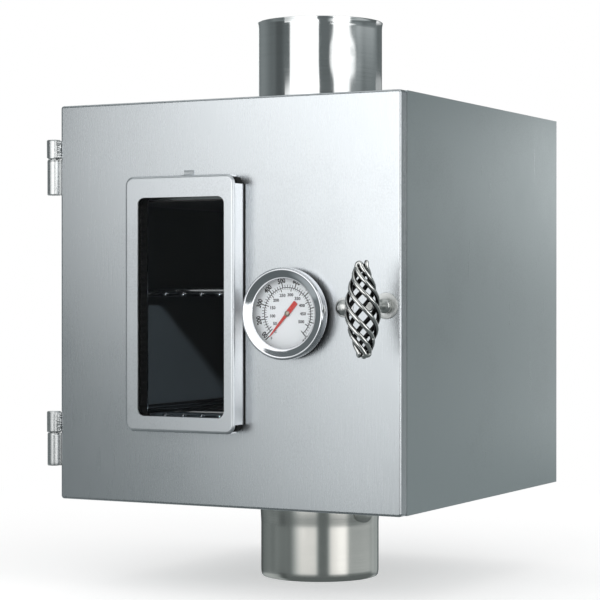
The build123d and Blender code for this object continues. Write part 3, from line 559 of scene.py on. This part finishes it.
STRANDS = 6
STRAND = 1.4                              # wire's radius
STRAND_LOW, STRAND_LENGTH = -31.6, 57.6   # from the spindle's height
CAGE_END, CAGE_BELLY = 3.0, 6.84          # wires' circle at the ends, and what it grows by
CAGE_TWIST = 410.0                        # degrees from end to end
CAGE_GATHER = 0.23                        # how much faster it turns near the ends
TAIL_LIMIT = 10.3                         # keeps the tucked tail inside the CAD basket


def cage_turn(share):
    """Degrees turned at a share of the length."""
    return CAGE_TWIST * (share + CAGE_GATHER / math.tau * math.sin(math.tau * share))


CAGE_PHASE = 90 + cage_turn(-STRAND_LOW / STRAND_LENGTH) + 180 / STRANDS - 9.0


def cage_point(strand, share):
    """Local to the spindle: X right, Y up, Z out of the door."""
    angle = math.radians(CAGE_PHASE - cage_turn(share) + 360 / STRANDS * strand)
    radius = CAGE_END + CAGE_BELLY * math.sin(math.pi * share) ** 1.3
    return Vector((radius * math.cos(angle), STRAND_LOW + STRAND_LENGTH * share,
                   CAGE_AXIS - radius * math.sin(angle)))


def u_bend(start, end, rise, steps=10):
    """Half loop from one wire end to the other, rising above them or hanging below."""
    points = []
    for step in range(1, steps):
        share = step / steps
        point = start.lerp(end, (1 - math.cos(math.pi * share)) / 2)
        point.y += rise * math.sin(math.pi * share)
        points.append(point)
    return points


def basket_handle():
    """One wire runs up and down the basket six times, with both cut ends at its top."""
    foot, crown = 0.05, 0.965
    runs = [[cage_point(strand, share) for share in spread(foot, crown, 64)]
            for strand in range(STRANDS)]
    order = (1, 0, 5, 4, 3, 2)
    path = [runs[1][-1] + Vector((0.25, 2.6, 0.1)), runs[1][-1] + Vector((0.12, 1.4, 0.05))]
    for turn, strand in enumerate(order):
        run = runs[strand][::-1] if turn % 2 == 0 else runs[strand]
        if turn:
            path += u_bend(path[-1], run[0], -1.3 if turn % 2 else 2.3)
        path += run
    path += [runs[2][-1] + Vector((0.2, 1.2, 0)), runs[2][-1] + Vector((0.4, 2.3, 0))]
    form = Form().tube(path, STRAND, 14)
    # bound core at each end, and a tucked tail of wire low on the right
    for low, high in ((-30.2, -28.2), (22.6, 24.6)):
        form.tube([(0, height, CAGE_AXIS) for height in spread(low, high, 3)], 2.0, 16)
    x, y, z = cage_point(2, 0.2)
    tail = ((0, 1.5, 0.3), (0.8, 0.8, 1.4), (0.9, -0.8, 1.6), (0.3, -2.0, 0.9))
    form.tube([(min(x + right, TAIL_LIMIT), y + up, z + out) for right, up, out in tail], 0.5, 8)
    lean = Matrix.Rotation(-math.radians(HANDLE_LEAN), 3, "Z")
    form.points = [lean @ Vector(point) for point in form.points]
    piece("basket_wire", form, "handle", "handle_nickel", ["handle_cage"],
          facing_out(*SPINDLE), sharp=60)


def spindle_and_latch():
    """Turned spindle, washers and rivet on the door's face."""
    spot = facing_out(*SPINDLE, HANDLE_LEAN)
    stem = [(0, 25.5), (2.6, 25.45), (3.1, 25.0), (3.2, 24.4), (2.9, 22.5), (2.3, 20.5)]
    stem += [(2.2, 7.2), (2.35, 6.2), (2.9, 5.8), (3.6, 5.5), (4.15, 5.0), (4.5, 4.3)]
    stem += [(4.6, 3.6), (4.6, 1.35), (4.45, 0.85), (3.2, 0.8), (3.2, -8.7), (0, -8.7)]
    form = Form().lathe(stem, 72)
    half = 2.2                # of the square that drives the latch's tongue
    form.slab([(-half, -half), (half, -half), (half, half), (-half, half)], -13.0, -8.6, 0.2)
    thread = [(0, -16.2), (1.7, -16.2)]
    for height in spread(-16.0, -13.34, 7):
        thread += [(1.85, height), (2.1, height + 0.19)]
    form.lathe(thread + [(1.9, -12.6), (0, -12.6)], 40)
    piece("spindle", form, "handle", "hardware_steel", ["handle_stem"], spot,
          look=matte_dome)

    ring = [(3.35, 0.05), (3.35, 0.72), (3.5, 0.8), (7.75, 0.8), (8.15, 0.68), (8.3, 0.4),
            (8.3, 0.0), (3.4, 0.0)]
    form = Form().lathe(ring, 96, closed=True)
    piece("spindle_disc", form, "door", "hardware_steel", ["spindle_washer"],
          facing_out(*SPINDLE), look=matte_disc)

    ring = [(2.45, 0.05), (2.45, 0.8), (5.8, 0.8), (6.15, 0.68), (6.3, 0.4), (6.3, 0.0)]
    form = Form().lathe(ring, 80, closed=True)
    piece("rivet_disc", form, "door", "hardware_steel", ["rivet_washer"],
          facing_out(*RIVET), look=matte_disc)

    dome = [(0, 5.0)] + [(5.05 * math.sin(a), 1.35 + 3.65 * math.cos(a))
                         for a in spread(0.2, math.pi / 2, 9)]
    dome += [(4.95, 0.95), (4.7, 0.8), (2.4, 0.8), (2.4, -3.0), (5.05, -3.0)]
    dome += [(5.05, -4.1), (4.6, -4.5), (0, -4.5)]
    form = Form().lathe(dome, 72)
    piece("rivet", form, "door", "hardware_steel", ["latch_rivet"], facing_out(*RIVET),
          look=matte_dome)


# ---- thermometer

CLOCK_START = -132.0      # where 100 stands on the outer scale, clockwise from up
CLOCK_SPAN = 270
PER_DEGREE = 0.3          # degrees of turn per degree Fahrenheit
INNER_START = -98.4       # where 100 stands on the inner scale
PER_INNER = 0.54          # degrees of turn per degree Celsius
DIAL_FRONT, INK = 3.7, 3.73   # fronts of the dial and of its print, before the door
DIAL_RING = 16.7          # radius of the line between the scales
CUP_SEAT = 3.3            # front of the cup's floor
SHAFT_HOLE = 0.76         # radius, round the pointer's shaft


def on_dial(turn, radius):
    angle = math.radians(turn)
    return Vector((radius * math.sin(angle), radius * math.cos(angle)))


def tick(form, turn, inner, outer, width):
    """Printed line on the dial, as a thin slab."""
    along = on_dial(turn, 1.0)
    side = Vector((along.y, -along.x)) * width / 2
    corners = [along * inner - side, along * inner + side, along * outer + side,
               along * outer - side]
    form.slab([tuple(corner) for corner in reversed(corners)], DIAL_FRONT, INK)


def lettering(form, text, size, turn, radius, upright, weight=0.0, narrow=1.0):
    """Plain figures in the built-in font, centred at a place on the dial."""
    curve = bpy.data.curves.new("figures", "FONT")
    curve.body = text
    curve.size = size
    curve.align_x = "CENTER"
    curve.align_y = "CENTER"
    curve.offset = weight
    curve.resolution_u = 2
    holder = bpy.data.objects.new("figures", curve)
    mesh = bpy.data.meshes.new_from_object(holder)
    lean = 0 if upright else -math.radians(turn)
    spot = on_dial(turn, radius)
    first = len(form.points)
    for vertex in mesh.vertices:
        x, y = vertex.co.x * narrow, vertex.co.y
        form.points.append((spot.x + x * math.cos(lean) - y * math.sin(lean),
                            spot.y + x * math.sin(lean) + y * math.cos(lean), INK))
    for polygon in mesh.polygons:
        form.faces.append(tuple(first + index for index in polygon.vertices))
    bpy.data.objects.remove(holder)
    bpy.data.meshes.remove(mesh)
    bpy.data.curves.remove(curve)


def dial_print():
    spot = facing_out(*GAUGE)
    black = Form()
    for step in range(46):
        length, width = (2.9, 0.62) if step % 5 == 0 else (1.8, 0.36)
        tick(black, CLOCK_START + PER_DEGREE * 20 * step, DIAL_RING, DIAL_RING + length, width)
    for step in range(46):
        length, width = (2.4, 0.55) if step % 5 == 0 else (1.4, 0.33)
        tick(black, INNER_START + PER_INNER * (10 * step - 50), DIAL_RING - length, DIAL_RING,
             width)
    for turn in (CLOCK_START, CLOCK_START + CLOCK_SPAN):
        tick(black, turn, 14.6, 19.4, 0.6)
    rim = [(*on_dial(turn, DIAL_RING), 3.72)
           for turn in spread(CLOCK_START, CLOCK_START + CLOCK_SPAN, 120)]
    black.tube(rim, 0.26, 4)
    for value in range(100, 1001, 100):
        lettering(black, str(value), 4.5, CLOCK_START + PER_DEGREE * (value - 100), 21.1,
                  False, 0.18, 0.82)
    lettering(black, "F", 2.3, CLOCK_START - 12, 19.7, True, 0.06)
    lettering(black, "C", 2.3, CLOCK_START - 11.4, 14.5, True, 0.06)
    piece("dial_scale", black, "door", "dial_paint", [], spot, look=ink)
    grey = Form()
    for value in range(50, 501, 50):
        turn = INNER_START + PER_INNER * (value - 100)
        inward = 11.1 + max(0.0, math.cos(math.radians(turn)))
        lettering(grey, str(value), 2.7, turn, inward, True, 0.1, 1.05)
    piece("dial_inner_figures", grey, "door", "dial_paint", [], spot, look=grey_ink)


def thermometer():
    spot = facing_out(*GAUGE)
    ring = [(28.6, 9.37), (28.55, 5.4), (28.8, 5.2), (29.15, 5.25), (29.3, 5.6)]
    ring += [(29.3, 6.5), (29.3, 9.2)]
    ring += [(28.0 + 1.3 * math.cos(a), 10.7 + 1.3 * math.sin(a))
             for a in spread(0.0, math.radians(110), 10)]
    ring += [(27.2, 11.75), (25.3, 10.83), (23.4, 9.9), (22.95, 9.76), (22.65, 9.8),
             (22.42, 9.7), (22.3, 9.52), (22.3, 9.37)]
    form = Form().lathe(ring, 180, closed=True)
    piece("bezel_ring", form, "door", "bezel_chrome", ["gauge_bezel"], spot, sharp=40)

    lens = [(0, 9.35), (12, 9.35), (28.6, 9.35), (28.6, 8.8), (0, 8.8)]
    form = Form().lathe(lens, 120)
    piece("dial_glass", form, "door", "lens_glass", ["gauge_lens"], spot, sharp=40)

    cup = [(SHAFT_HOLE, 2.5), (26.6, 2.5), (27.6, 2.75), (28.3, 3.4), (28.6, 4.3), (28.6, 8.8),
           (27.8, 8.8), (27.8, 4.4), (27.5, 3.8), (26.8, 3.35), (SHAFT_HOLE, CUP_SEAT)]
    form = Form().lathe(cup, 120, closed=True)
    piece("dial_cup", form, "door", "hardware_steel", ["gauge_case"], spot, look=bezel_shade_cup)

    disc = [(SHAFT_HOLE, CUP_SEAT), (26.8, CUP_SEAT), (27.0, 3.4), (27.0, 3.62),
            (26.9, DIAL_FRONT), (SHAFT_HOLE, DIAL_FRONT)]
    form = Form().lathe(disc, 120, closed=True)
    piece("dial_plate", form, "door", "dial_paint", ["gauge_dial"], spot)
    dial_print()
    pointer_pieces()


def pointer_pieces():
    """Needle, lying at its rest angle, and its domed cap in a bronze tone."""
    turn = math.radians(139.0)
    needle = [(-1.1, 0), (-1.6, -1.2), (-1.6, -9.4), (-1.4, -9.6), (1.4, -9.6), (1.6, -9.4),
              (1.6, -1.2), (1.1, 0), (0.75, 10), (0.25, 19.3), (0, 19.4), (-0.25, 19.3),
              (-0.75, 10)]
    outline = [(x * math.cos(turn) - y * math.sin(turn), x * math.sin(turn) + y * math.cos(turn))
               for x, y in needle]
    form = Form().slab(outline, 4.1, 4.5)
    spot = facing_out(*GAUGE)
    piece("needle", form, "thermometer_pointer", "pointer_red", ["pointer"], spot)
    cap = [(0, 5.15), (0.9, 5.08), (1.5, 4.85), (1.85, 4.5), (1.9, 4.1), (0.7, 4.1), (0.7, -57),
           (0, -57)]
    form = Form().lathe(cap, 40)
    piece("needle_cap", form, "thermometer_pointer", "hardware_steel",
          ["pointer_shaft"], spot, look=cap_bronze)


# ---- hinges

def weld_bead(form, x, y, low, high, size, seed):
    """Lumpy run of weld along an upright corner."""
    draw = random.Random(seed)
    heights = spread(low, high, int((high - low) / 0.45))
    path = [(x + draw.uniform(-0.12, 0.12), y + draw.uniform(-0.12, 0.12), z) for z in heights]
    lumps = [size * draw.uniform(0.72, 1.15) for _ in heights]
    last = len(lumps) - 1
    form.tube(path, lambda share: lumps[round(share * last)], 9)


def hinge(name, low, split, top, wave):
    """Capped door barrel over a plain body barrel; wave lifts parts of its mouth."""
    door = Form()
    mouth = split + 0.35
    barrel = [(0, top), (3.4, top), (4.2, top - 0.15), (4.65, top - 0.5), (4.79, top - 1.0)]
    barrel += [(4.79, z) for z in spread(top - 2, mouth + 1.2, 10)]
    barrel += [(4.78, mouth + 0.4), (4.6, mouth + 0.1), (4.4, mouth), (2.6, mouth),
               (2.57, mouth + 1), (2.57, top - 1.6), (0, top - 1.6)]

    def uneven(angle, height):
        return 0.025 * math.sin(2 * angle + height / 3) - 0.025

    door.lathe(barrel, 72, swell=uneven)
    for index, (x, y, z) in enumerate(door.points):
        near = max(0.0, 1 - (z - mouth) / 2.0)
        lift = wave * near * (1 + math.sin(2.6 * math.atan2(y, x) + 2.2)) / 2
        door.points[index] = (x, y, z + lift)
    door.slab([(0.5, 0.1), (5.8, 0.1), (5.8, 3.5), (0.5, 3.5)], mouth + 0.6, top - 1.0, 0.3)
    weld_bead(door, 4.9, -1.9, mouth + 1.4, top - 2.0, 1.3, name + "a")
    weld_bead(door, 5.5, -0.9, mouth + 1.0, top - 1.6, 1.1, name + "b")
    weld_bead(door, 3.7, -2.2, mouth + 2.6, top - 4.0, 0.8, name + "c")
    weld_bead(door, 4.6, 3.6, mouth + 1.5, top - 2.2, 1.0, name + "d")
    piece(name + "_door_barrel", door, "door", "hinge_steel", [name + "_door_knuckle"],
          upright_at(*HINGE), sharp=50)

    body = Form()
    barrel = [(2.5, low), (4.0, low), (4.3, low + 0.3)]
    barrel += [(4.4, z) for z in spread(low + 0.8, split - 1.6, 10)]
    barrel += [(4.4, split - 0.9), (4.25, split - 0.75), (4.3, split - 0.35), (4.0, split - 0.02),
               (2.5, split)]
    body.lathe(barrel, 72, closed=True)
    leaf = [(3.5, 0.6), (5.5, 0.6), (5.5, 9.0), (5.8, 9.2), (5.8, 31.9), (5.5, 32.0), (3.6, 32.0),
            (3.5, 31.8)]
    body.slab(leaf, low + 0.05, split - 0.05)
    weld_bead(body, 3.4, 3.4, low + 1, split - 1, 0.8, name + "e")
    piece(name + "_body_barrel", body, "oven_body", "hinge_steel", [name + "_body_knuckle"],
          upright_at(*HINGE), sharp=50)


def frame_seal():
    """Black strip inside the window frame's folded sides, with a lip where they meet the door:
    painted shade for the dark gap there.
    """
    def inset(size, corner):
        return loop(FRAME_LEFT + size, FRAME_RIGHT - size, FRAME_LOW + size, FRAME_HIGH - size,
                    corner)

    outer, inner = inset(1.4, 4.0), inset(3.8, 2.0)
    form = Form()
    rings = [form.ring([(x, y, z) for x, y in edge])
             for edge, z in ((outer, 0.0), (outer, 7.0), (inner, 7.0), (inner, 0.0))]
    for one, two in zip(rings, rings[1:] + rings[:1]):
        form.bridge(one, two)
    foot, head = FRAME_LOW + 5.9, FRAME_HIGH - 5.9
    for low, high in ((FRAME_LEFT - 0.7, FRAME_LEFT + 2.8),
                      (FRAME_RIGHT - 2.8, FRAME_RIGHT + 0.7)):
        form.slab([(low, foot), (high, foot), (high, head), (low, head)], 0.0, 0.7, 0.1)
    piece("frame_seal", form, "door", "gasket", [], facing_out(0, 0), sharp=50, look=gap_shade_black)


def clip():
    """Folded tab that holds the window frame's upper edge."""
    profile = [(0, 0), (3.6, 0), (4.0, 0.3), (4.0, 0.5), (3.6, 0.8), (1.8, 0.8), (1.1, 1.1),
               (0.8, 1.8), (0.8, 3.6), (0.5, 4.0), (0, 4.0)]
    form = Form().slab(profile, -3.5, 3.5)
    middle = (FRAME_LEFT + FRAME_RIGHT) / 2
    place = Matrix(((0, 0, -1, middle * MM), (-1, 0, 0, DOOR_FACE * MM),
                    (0, 1, 0, FRAME_HIGH * MM), (0, 0, 0, 1)))
    piece("window_clip", form, "door", "frame_steel", ["frame_clip"], place, sharp=50)


lower_collar()
upper_collar()
wire_rack("upper_rack", 200.9)
wire_rack("lower_rack", 120.0)
basket_handle()
spindle_and_latch()
thermometer()
hinge("upper", 265.6, 289.7, 303.3, 1.0)
hinge("lower", 82.3, 104.5, 119.3, 0.0)
frame_seal()
clip()


# ---- studio

AMBIENT = 0.60          # what matt surfaces receive from all round
DARK_LEVEL = 0.17       # gaps between the soft boxes, as mirrored
# soft boxes: azimuth from -Y towards +X in degrees, distance, width, lowest and highest
# edge in metres, and the brightness that a mirror would show
SOFT_BOXES = {
    "key": (-6.5, 0.5, 0.616, 0.0, 0.475, 1.0),
    "fill": (70, 1.0, 1.36, 0.02, 1.0, 1.0),
    "backdrop": (225, 1.1, 0.40, 0.02, 1.0, 1.0),
    "side": (169, 0.85, 0.55, 0.02, 0.44, 1.0),
}
# how the key box brightens upwards (heights in metres) and to the right (shares of its width)
KEY_FOOT, KEY_RISE, KEY_HEIGHTS = -0.03, 0.69, (0.05, 0.36)
KEY_SWING, KEY_SWING_TOP, KEY_SWING_FROM = 1.5, 0.12, 0.09
KEY_CROWN, KEY_CROWN_FROM, KEY_LIMIT = 0.8, (0.365, 0.40), 1.5
# where its lower right, its right end and its upper left corner are flagged off
KEY_FLAG_ACROSS, KEY_FLAG_HEIGHTS = (0.555, 0.64), (0.09, 0.12)
KEY_END_ACROSS, KEY_END_HEIGHTS = (0.92, 0.97), (0.32, 0.36)
KEY_CORNER_ACROSS, KEY_CORNER_HEIGHTS = (0.16, 0.23), (0.386, 0.402)
# the fill box is masked to an upright band with a bulge (metres from its middle)
FILL_LEVEL, FILL_EDGES, FILL_SOFT, FILL_BULGE = 1.45, (-0.335, 0.215), (0.04, 0.09), (-0.13, 0.24)
FILL_BULGE_HEIGHT, FILL_BULGE_TALL = 0.480, 0.015
# the side box is dimmer low down and near its top
SIDE_LEVELS, SIDE_HEIGHTS = (0.42, 0.92), (0.17, 0.33)
SIDE_TOP, SIDE_TOP_HEIGHTS = 0.35, (0.38, 0.42)
EDGE_BOX = (150, 0.6, 0.3, 0.0, 0.45, 1.3)
BEAM_POWER, BEAM_SPREAD, BEAM_COLOUR = 60.0, 18, (0.66, 0.85, 1.0)
BEAM_AIM, BEAM_WAY = (-0.024, -0.143, 0.200), (75, -125, 96)   # and the way to the lamp
FLOOR_HALF, FLOOR_FADE, FLOOR_GLOW = 6.0, (0.25, 0.7), 0.45
CAMERA_PLACE, CAMERA_TILT, CAMERA_TURN, CAMERA_LENS = (
    (0.6600, -1.2887, 0.1995), 89.798, 27.676, 122.56)
# what the steel mirrors besides the boxes: azimuths with the softness of both edges,
# elevations likewise (all in degrees), and the brightness added
CARDS = [
    ((-21, 22, 15, 5), (-11, 1, 3, 1), 0.8),
    ((150, 186, 6, 6), (-13, -4.5, 3, 1.5), 0.27),
    ((132, 166, 8, 6), (-7, -1, 3, 2), -0.03),
    ((120, 160, 8, 6), (0, 12, 2, 4), 0.05),
    ((86, 110, 4, 8), (0, 30, 3, 5), 0.12),
    ((-150, -95, 12, 12), (-30, -5, 5, 2), -0.08),
    ((46, 82, 6, 7), (-11, 1, 3, 1), 0.9),
    ((60, 150, 10, 14), (-9.5, -5.5, 2, 1.5), 0.46),
    ((-70, -40, 14, 12), (-9, -3, 2, 2), 0.14),
    ((96, 150, 8, 12), (7, 12, 1.2, 2), 0.35),
    ((-120, -86, 12, 16), (-30, 20, 5, 5), 0.10),
    ((-62, -44, 6, 6), (-30, 20, 5, 5), -0.06),
    # only other views see these: ceiling, and pale floor at the left and behind
    ((-181, 181, 1, 1), (52, 91, 10, 1), 0.6),
    ((-150, -60, 12, 12), (-50, -12, 6, 2.5), 0.3),
    ((162, 181, 8, 1), (-50, -16, 6, 3), 0.3),
    ((-181, -162, 1, 8), (-50, -16, 6, 3), 0.3),
]


def world_light():
    """White behind the object; soft boxes with darker gaps for whatever mirrors them."""
    world = bpy.data.worlds.new("studio")
    world.use_nodes = True
    bpy.context.scene.world = world
    g = Graph(world.node_tree)
    x, y, z = g.parts(g.add("TexCoord", out="Generated"))
    azimuth = g.math("MULTIPLY", g.math("ARCTAN2", x, g.math("MULTIPLY", y, -1.0)),
                     180 / math.pi)
    elevation = g.math("MULTIPLY", g.math("ARCSINE", z), 180 / math.pi)

    def band(value, low, high, soft_low, soft_high):
        rise = g.step(value, low - soft_low, low + soft_low)
        return g.math("MULTIPLY", rise, g.step(value, high - soft_high, high + soft_high, 1, 0))

    level = g.step(elevation, -24, -4, 0.15, DARK_LEVEL)
    for azimuths, heights, extra in CARDS:
        card = g.product(band(azimuth, *azimuths), band(elevation, *heights), extra)
        level = g.math("ADD", level, card)
    tint = g.mix(g.remap(level, 0.2, 1.0), (0.86, 0.98, 1.0, 1), WHITE)
    mirrored = g.add("Background", {"Color": tint, "Strength": level})
    soft = g.add("Background", {"Color": WHITE, "Strength": AMBIENT})
    white = g.add("Background", {"Color": WHITE, "Strength": 1.0})
    path = g.add("LightPath", out="Is Camera Ray").node
    lit = g.add("MixShader", {0: path.outputs["Is Glossy Ray"], 1: soft, 2: mirrored})
    through = g.math("MAXIMUM", path.outputs["Is Camera Ray"],
                     path.outputs["Is Transmission Ray"])
    shown = g.add("MixShader", {0: through, 1: lit, 2: white})
    g.add("OutputWorld", {"Surface": shown})


def floor():
    """Pale plain floor at the foot of the lower collar."""
    mesh = bpy.data.meshes.new("studio_floor")
    corners = [(FLOOR_HALF * x, FLOOR_HALF * y, 0)
               for x, y in ((-1, -1), (1, -1), (1, 1), (-1, 1))]
    mesh.from_pydata(corners, [], [(0, 1, 2, 3)])
    obj = bpy.data.objects.new("studio_floor", mesh)
    bpy.context.scene.collection.objects.link(obj)
    material, g = new_material("studio_floor")
    path = g.add("LightPath", out="Is Camera Ray").node
    seen = g.math("MAXIMUM", path.outputs["Is Camera Ray"],
                  path.outputs["Is Transmission Ray"])
    reach = g.add("VectorMath", {0: g.place()}, operation="LENGTH", out="Value")
    away = g.step(reach, *FLOOR_FADE)
    shade = g.add("BsdfDiffuse", {"Color": (0.8, 0.8, 0.8, 1)})
    glow = g.add("Emission", {"Color": WHITE, "Strength": g.math("MULTIPLY", seen, FLOOR_GLOW)})
    near = g.add("AddShader", {0: shade, 1: glow})
    far = g.add("Emission", {"Color": WHITE, "Strength": 1.0})
    blank = g.add("MixShader", {0: g.math("MULTIPLY", away, seen), 1: near, 2: far})
    g.add("OutputMaterial", {"Surface": blank})
    mesh.materials.append(material)
    obj.visible_glossy = False


def soft_box(name, azimuth, distance, width, low, high, level):
    """Upright rectangular light that faces the flue's axis."""
    data = bpy.data.lights.new(name, "AREA")
    data.shape = "RECTANGLE"
    data.size = width
    data.size_y = high - low
    data.energy = level * math.pi * width * (high - low)
    obj = bpy.data.objects.new(name, data)
    bpy.context.scene.collection.objects.link(obj)
    angle = math.radians(azimuth)
    obj.location = (distance * math.sin(angle), -distance * math.cos(angle), (low + high) / 2)
    facing = Vector((-math.sin(angle), math.cos(angle), 0))
    obj.rotation_euler = facing.to_track_quat("-Z", "Y").to_euler()
    obj.visible_camera = False
    return obj


def shade_key(g, across, height):
    """Grade the key box: dim at the lower left, full at the upper right."""
    rise = g.step(height, *KEY_HEIGHTS)
    level = g.math("MULTIPLY_ADD", rise, KEY_RISE, KEY_FOOT)
    swing = g.math("MULTIPLY_ADD", rise, KEY_SWING_TOP, KEY_SWING)
    reach = g.math("MAXIMUM", g.math("SUBTRACT", across, KEY_SWING_FROM), 0.0)
    level = g.math("ADD", level, g.math("MULTIPLY", reach, swing))
    level = g.math("ADD", level, g.step(height, *KEY_CROWN_FROM, 0.0, KEY_CROWN))
    level = g.math("MAXIMUM", g.math("MINIMUM", level, KEY_LIMIT), 0.0)
    # flags for the bevels and wires beside the door's gloss, and for the upper collar
    flags = (g.product(g.step(across, *KEY_FLAG_ACROSS), g.step(height, *KEY_FLAG_HEIGHTS, 1, 0)),
             g.product(g.step(across, *KEY_END_ACROSS), g.step(height, *KEY_END_HEIGHTS, 1, 0)),
             g.product(g.step(across, *KEY_CORNER_ACROSS, 1, 0),
                       g.step(height, *KEY_CORNER_HEIGHTS)))
    return g.product(level, *(g.math("SUBTRACT", 1.0, flag) for flag in flags))


def shade_fill(g, across, height):
    """Mask the fill box to an upright band that bulges half-way up the collar's image."""
    half = SOFT_BOXES["fill"][2] / 2
    offset = g.remap(across, 0, 1, -half, half)
    off = g.math("DIVIDE", g.math("SUBTRACT", height, FILL_BULGE_HEIGHT), FILL_BULGE_TALL)
    bell = g.math("EXPONENT", g.product(off, off, -1.0))
    left, right = [g.math("MULTIPLY_ADD", bell, reach, edge)
                   for edge, reach in zip(FILL_EDGES, FILL_BULGE)]
    soft_left, soft_right = FILL_SOFT
    return g.product(g.step(g.math("SUBTRACT", offset, left), -soft_left, soft_left),
                     g.step(g.math("SUBTRACT", right, offset), -soft_right, soft_right),
                     FILL_LEVEL)


def shade_side(g, across, height):
    """Dim the lower part of the side box, and its top."""
    return g.product(g.step(height, *SIDE_HEIGHTS, *SIDE_LEVELS),
                     g.step(height, *SIDE_TOP_HEIGHTS, 1.0, SIDE_TOP))


def shade(lamp, rule, low, high):
    """Give a soft box a rule for its level, from the share across it and the height on it."""
    lamp.data.use_nodes = True
    g = Graph(lamp.data.node_tree)
    across, up, _ = g.parts(g.add("NewGeometry", out="Parametric"))
    g.emit(rule(g, across, g.remap(up, 0, 1, low, high)))


def link_lamp(lamp, lit, blockers):
    """Let a lamp light some objects alone, and be blocked by some alone."""
    for role, names in (("receiver", lit), ("blocker", blockers)):
        group = bpy.data.collections.new(lamp.name + "_" + role)
        for name in names:
            group.objects.link(bpy.data.objects[name])
        setattr(lamp.light_linking, role + "_collection", group)


def window_beam():
    """Small high lamp that shines in at the window, onto the chamber's left wall."""
    data = bpy.data.lights.new("window_beam", "SPOT")
    data.spot_size = math.radians(BEAM_SPREAD)
    data.spot_blend = 0.25
    data.shadow_soft_size = 0.02
    data.energy = BEAM_POWER
    data.color = BEAM_COLOUR
    obj = bpy.data.objects.new("window_beam", data)
    bpy.context.scene.collection.objects.link(obj)
    way = Vector(BEAM_WAY).normalized()
    obj.location = Vector(BEAM_AIM) + way
    obj.rotation_euler = (-way).to_track_quat("-Z", "Y").to_euler()
    obj.visible_camera = False
    link_lamp(obj, ("chamber_wrap", "chamber_back", "upper_rack_wires", "lower_rack_wires"),
              ("door_panel", "window_frame", "rear_gasket", "front_gasket", "casing_wrap",
               "top_panel", "front_frame", "chamber_wrap"))


def edge_lamp():
    """Lamp for the window frame's folded side alone, which would else mirror a dark gap."""
    link_lamp(soft_box("edge_lamp", *EDGE_BOX), ("window_frame",),
              ("studio_floor", "dial_cup", "bezel_ring"))


def camera():
    data = bpy.data.cameras.new("camera")
    data.lens = CAMERA_LENS
    data.sensor_width = 36.0
    obj = bpy.data.objects.new("camera", data)
    obj.location = CAMERA_PLACE
    obj.rotation_euler = (math.radians(CAMERA_TILT), 0, math.radians(CAMERA_TURN))
    bpy.context.scene.collection.objects.link(obj)
    bpy.context.scene.camera = obj


SHADES = {"key": shade_key, "fill": shade_fill, "side": shade_side}

world_light()
floor()
for box_name, values in SOFT_BOXES.items():
    box = soft_box(box_name, *values)
    if box_name in SHADES:
        shade(box, SHADES[box_name], *values[3:5])
window_beam()
edge_lamp()
camera()
bpy.context.scene.view_settings.view_transform = "Standard"

bpy.context.view_layer.update()
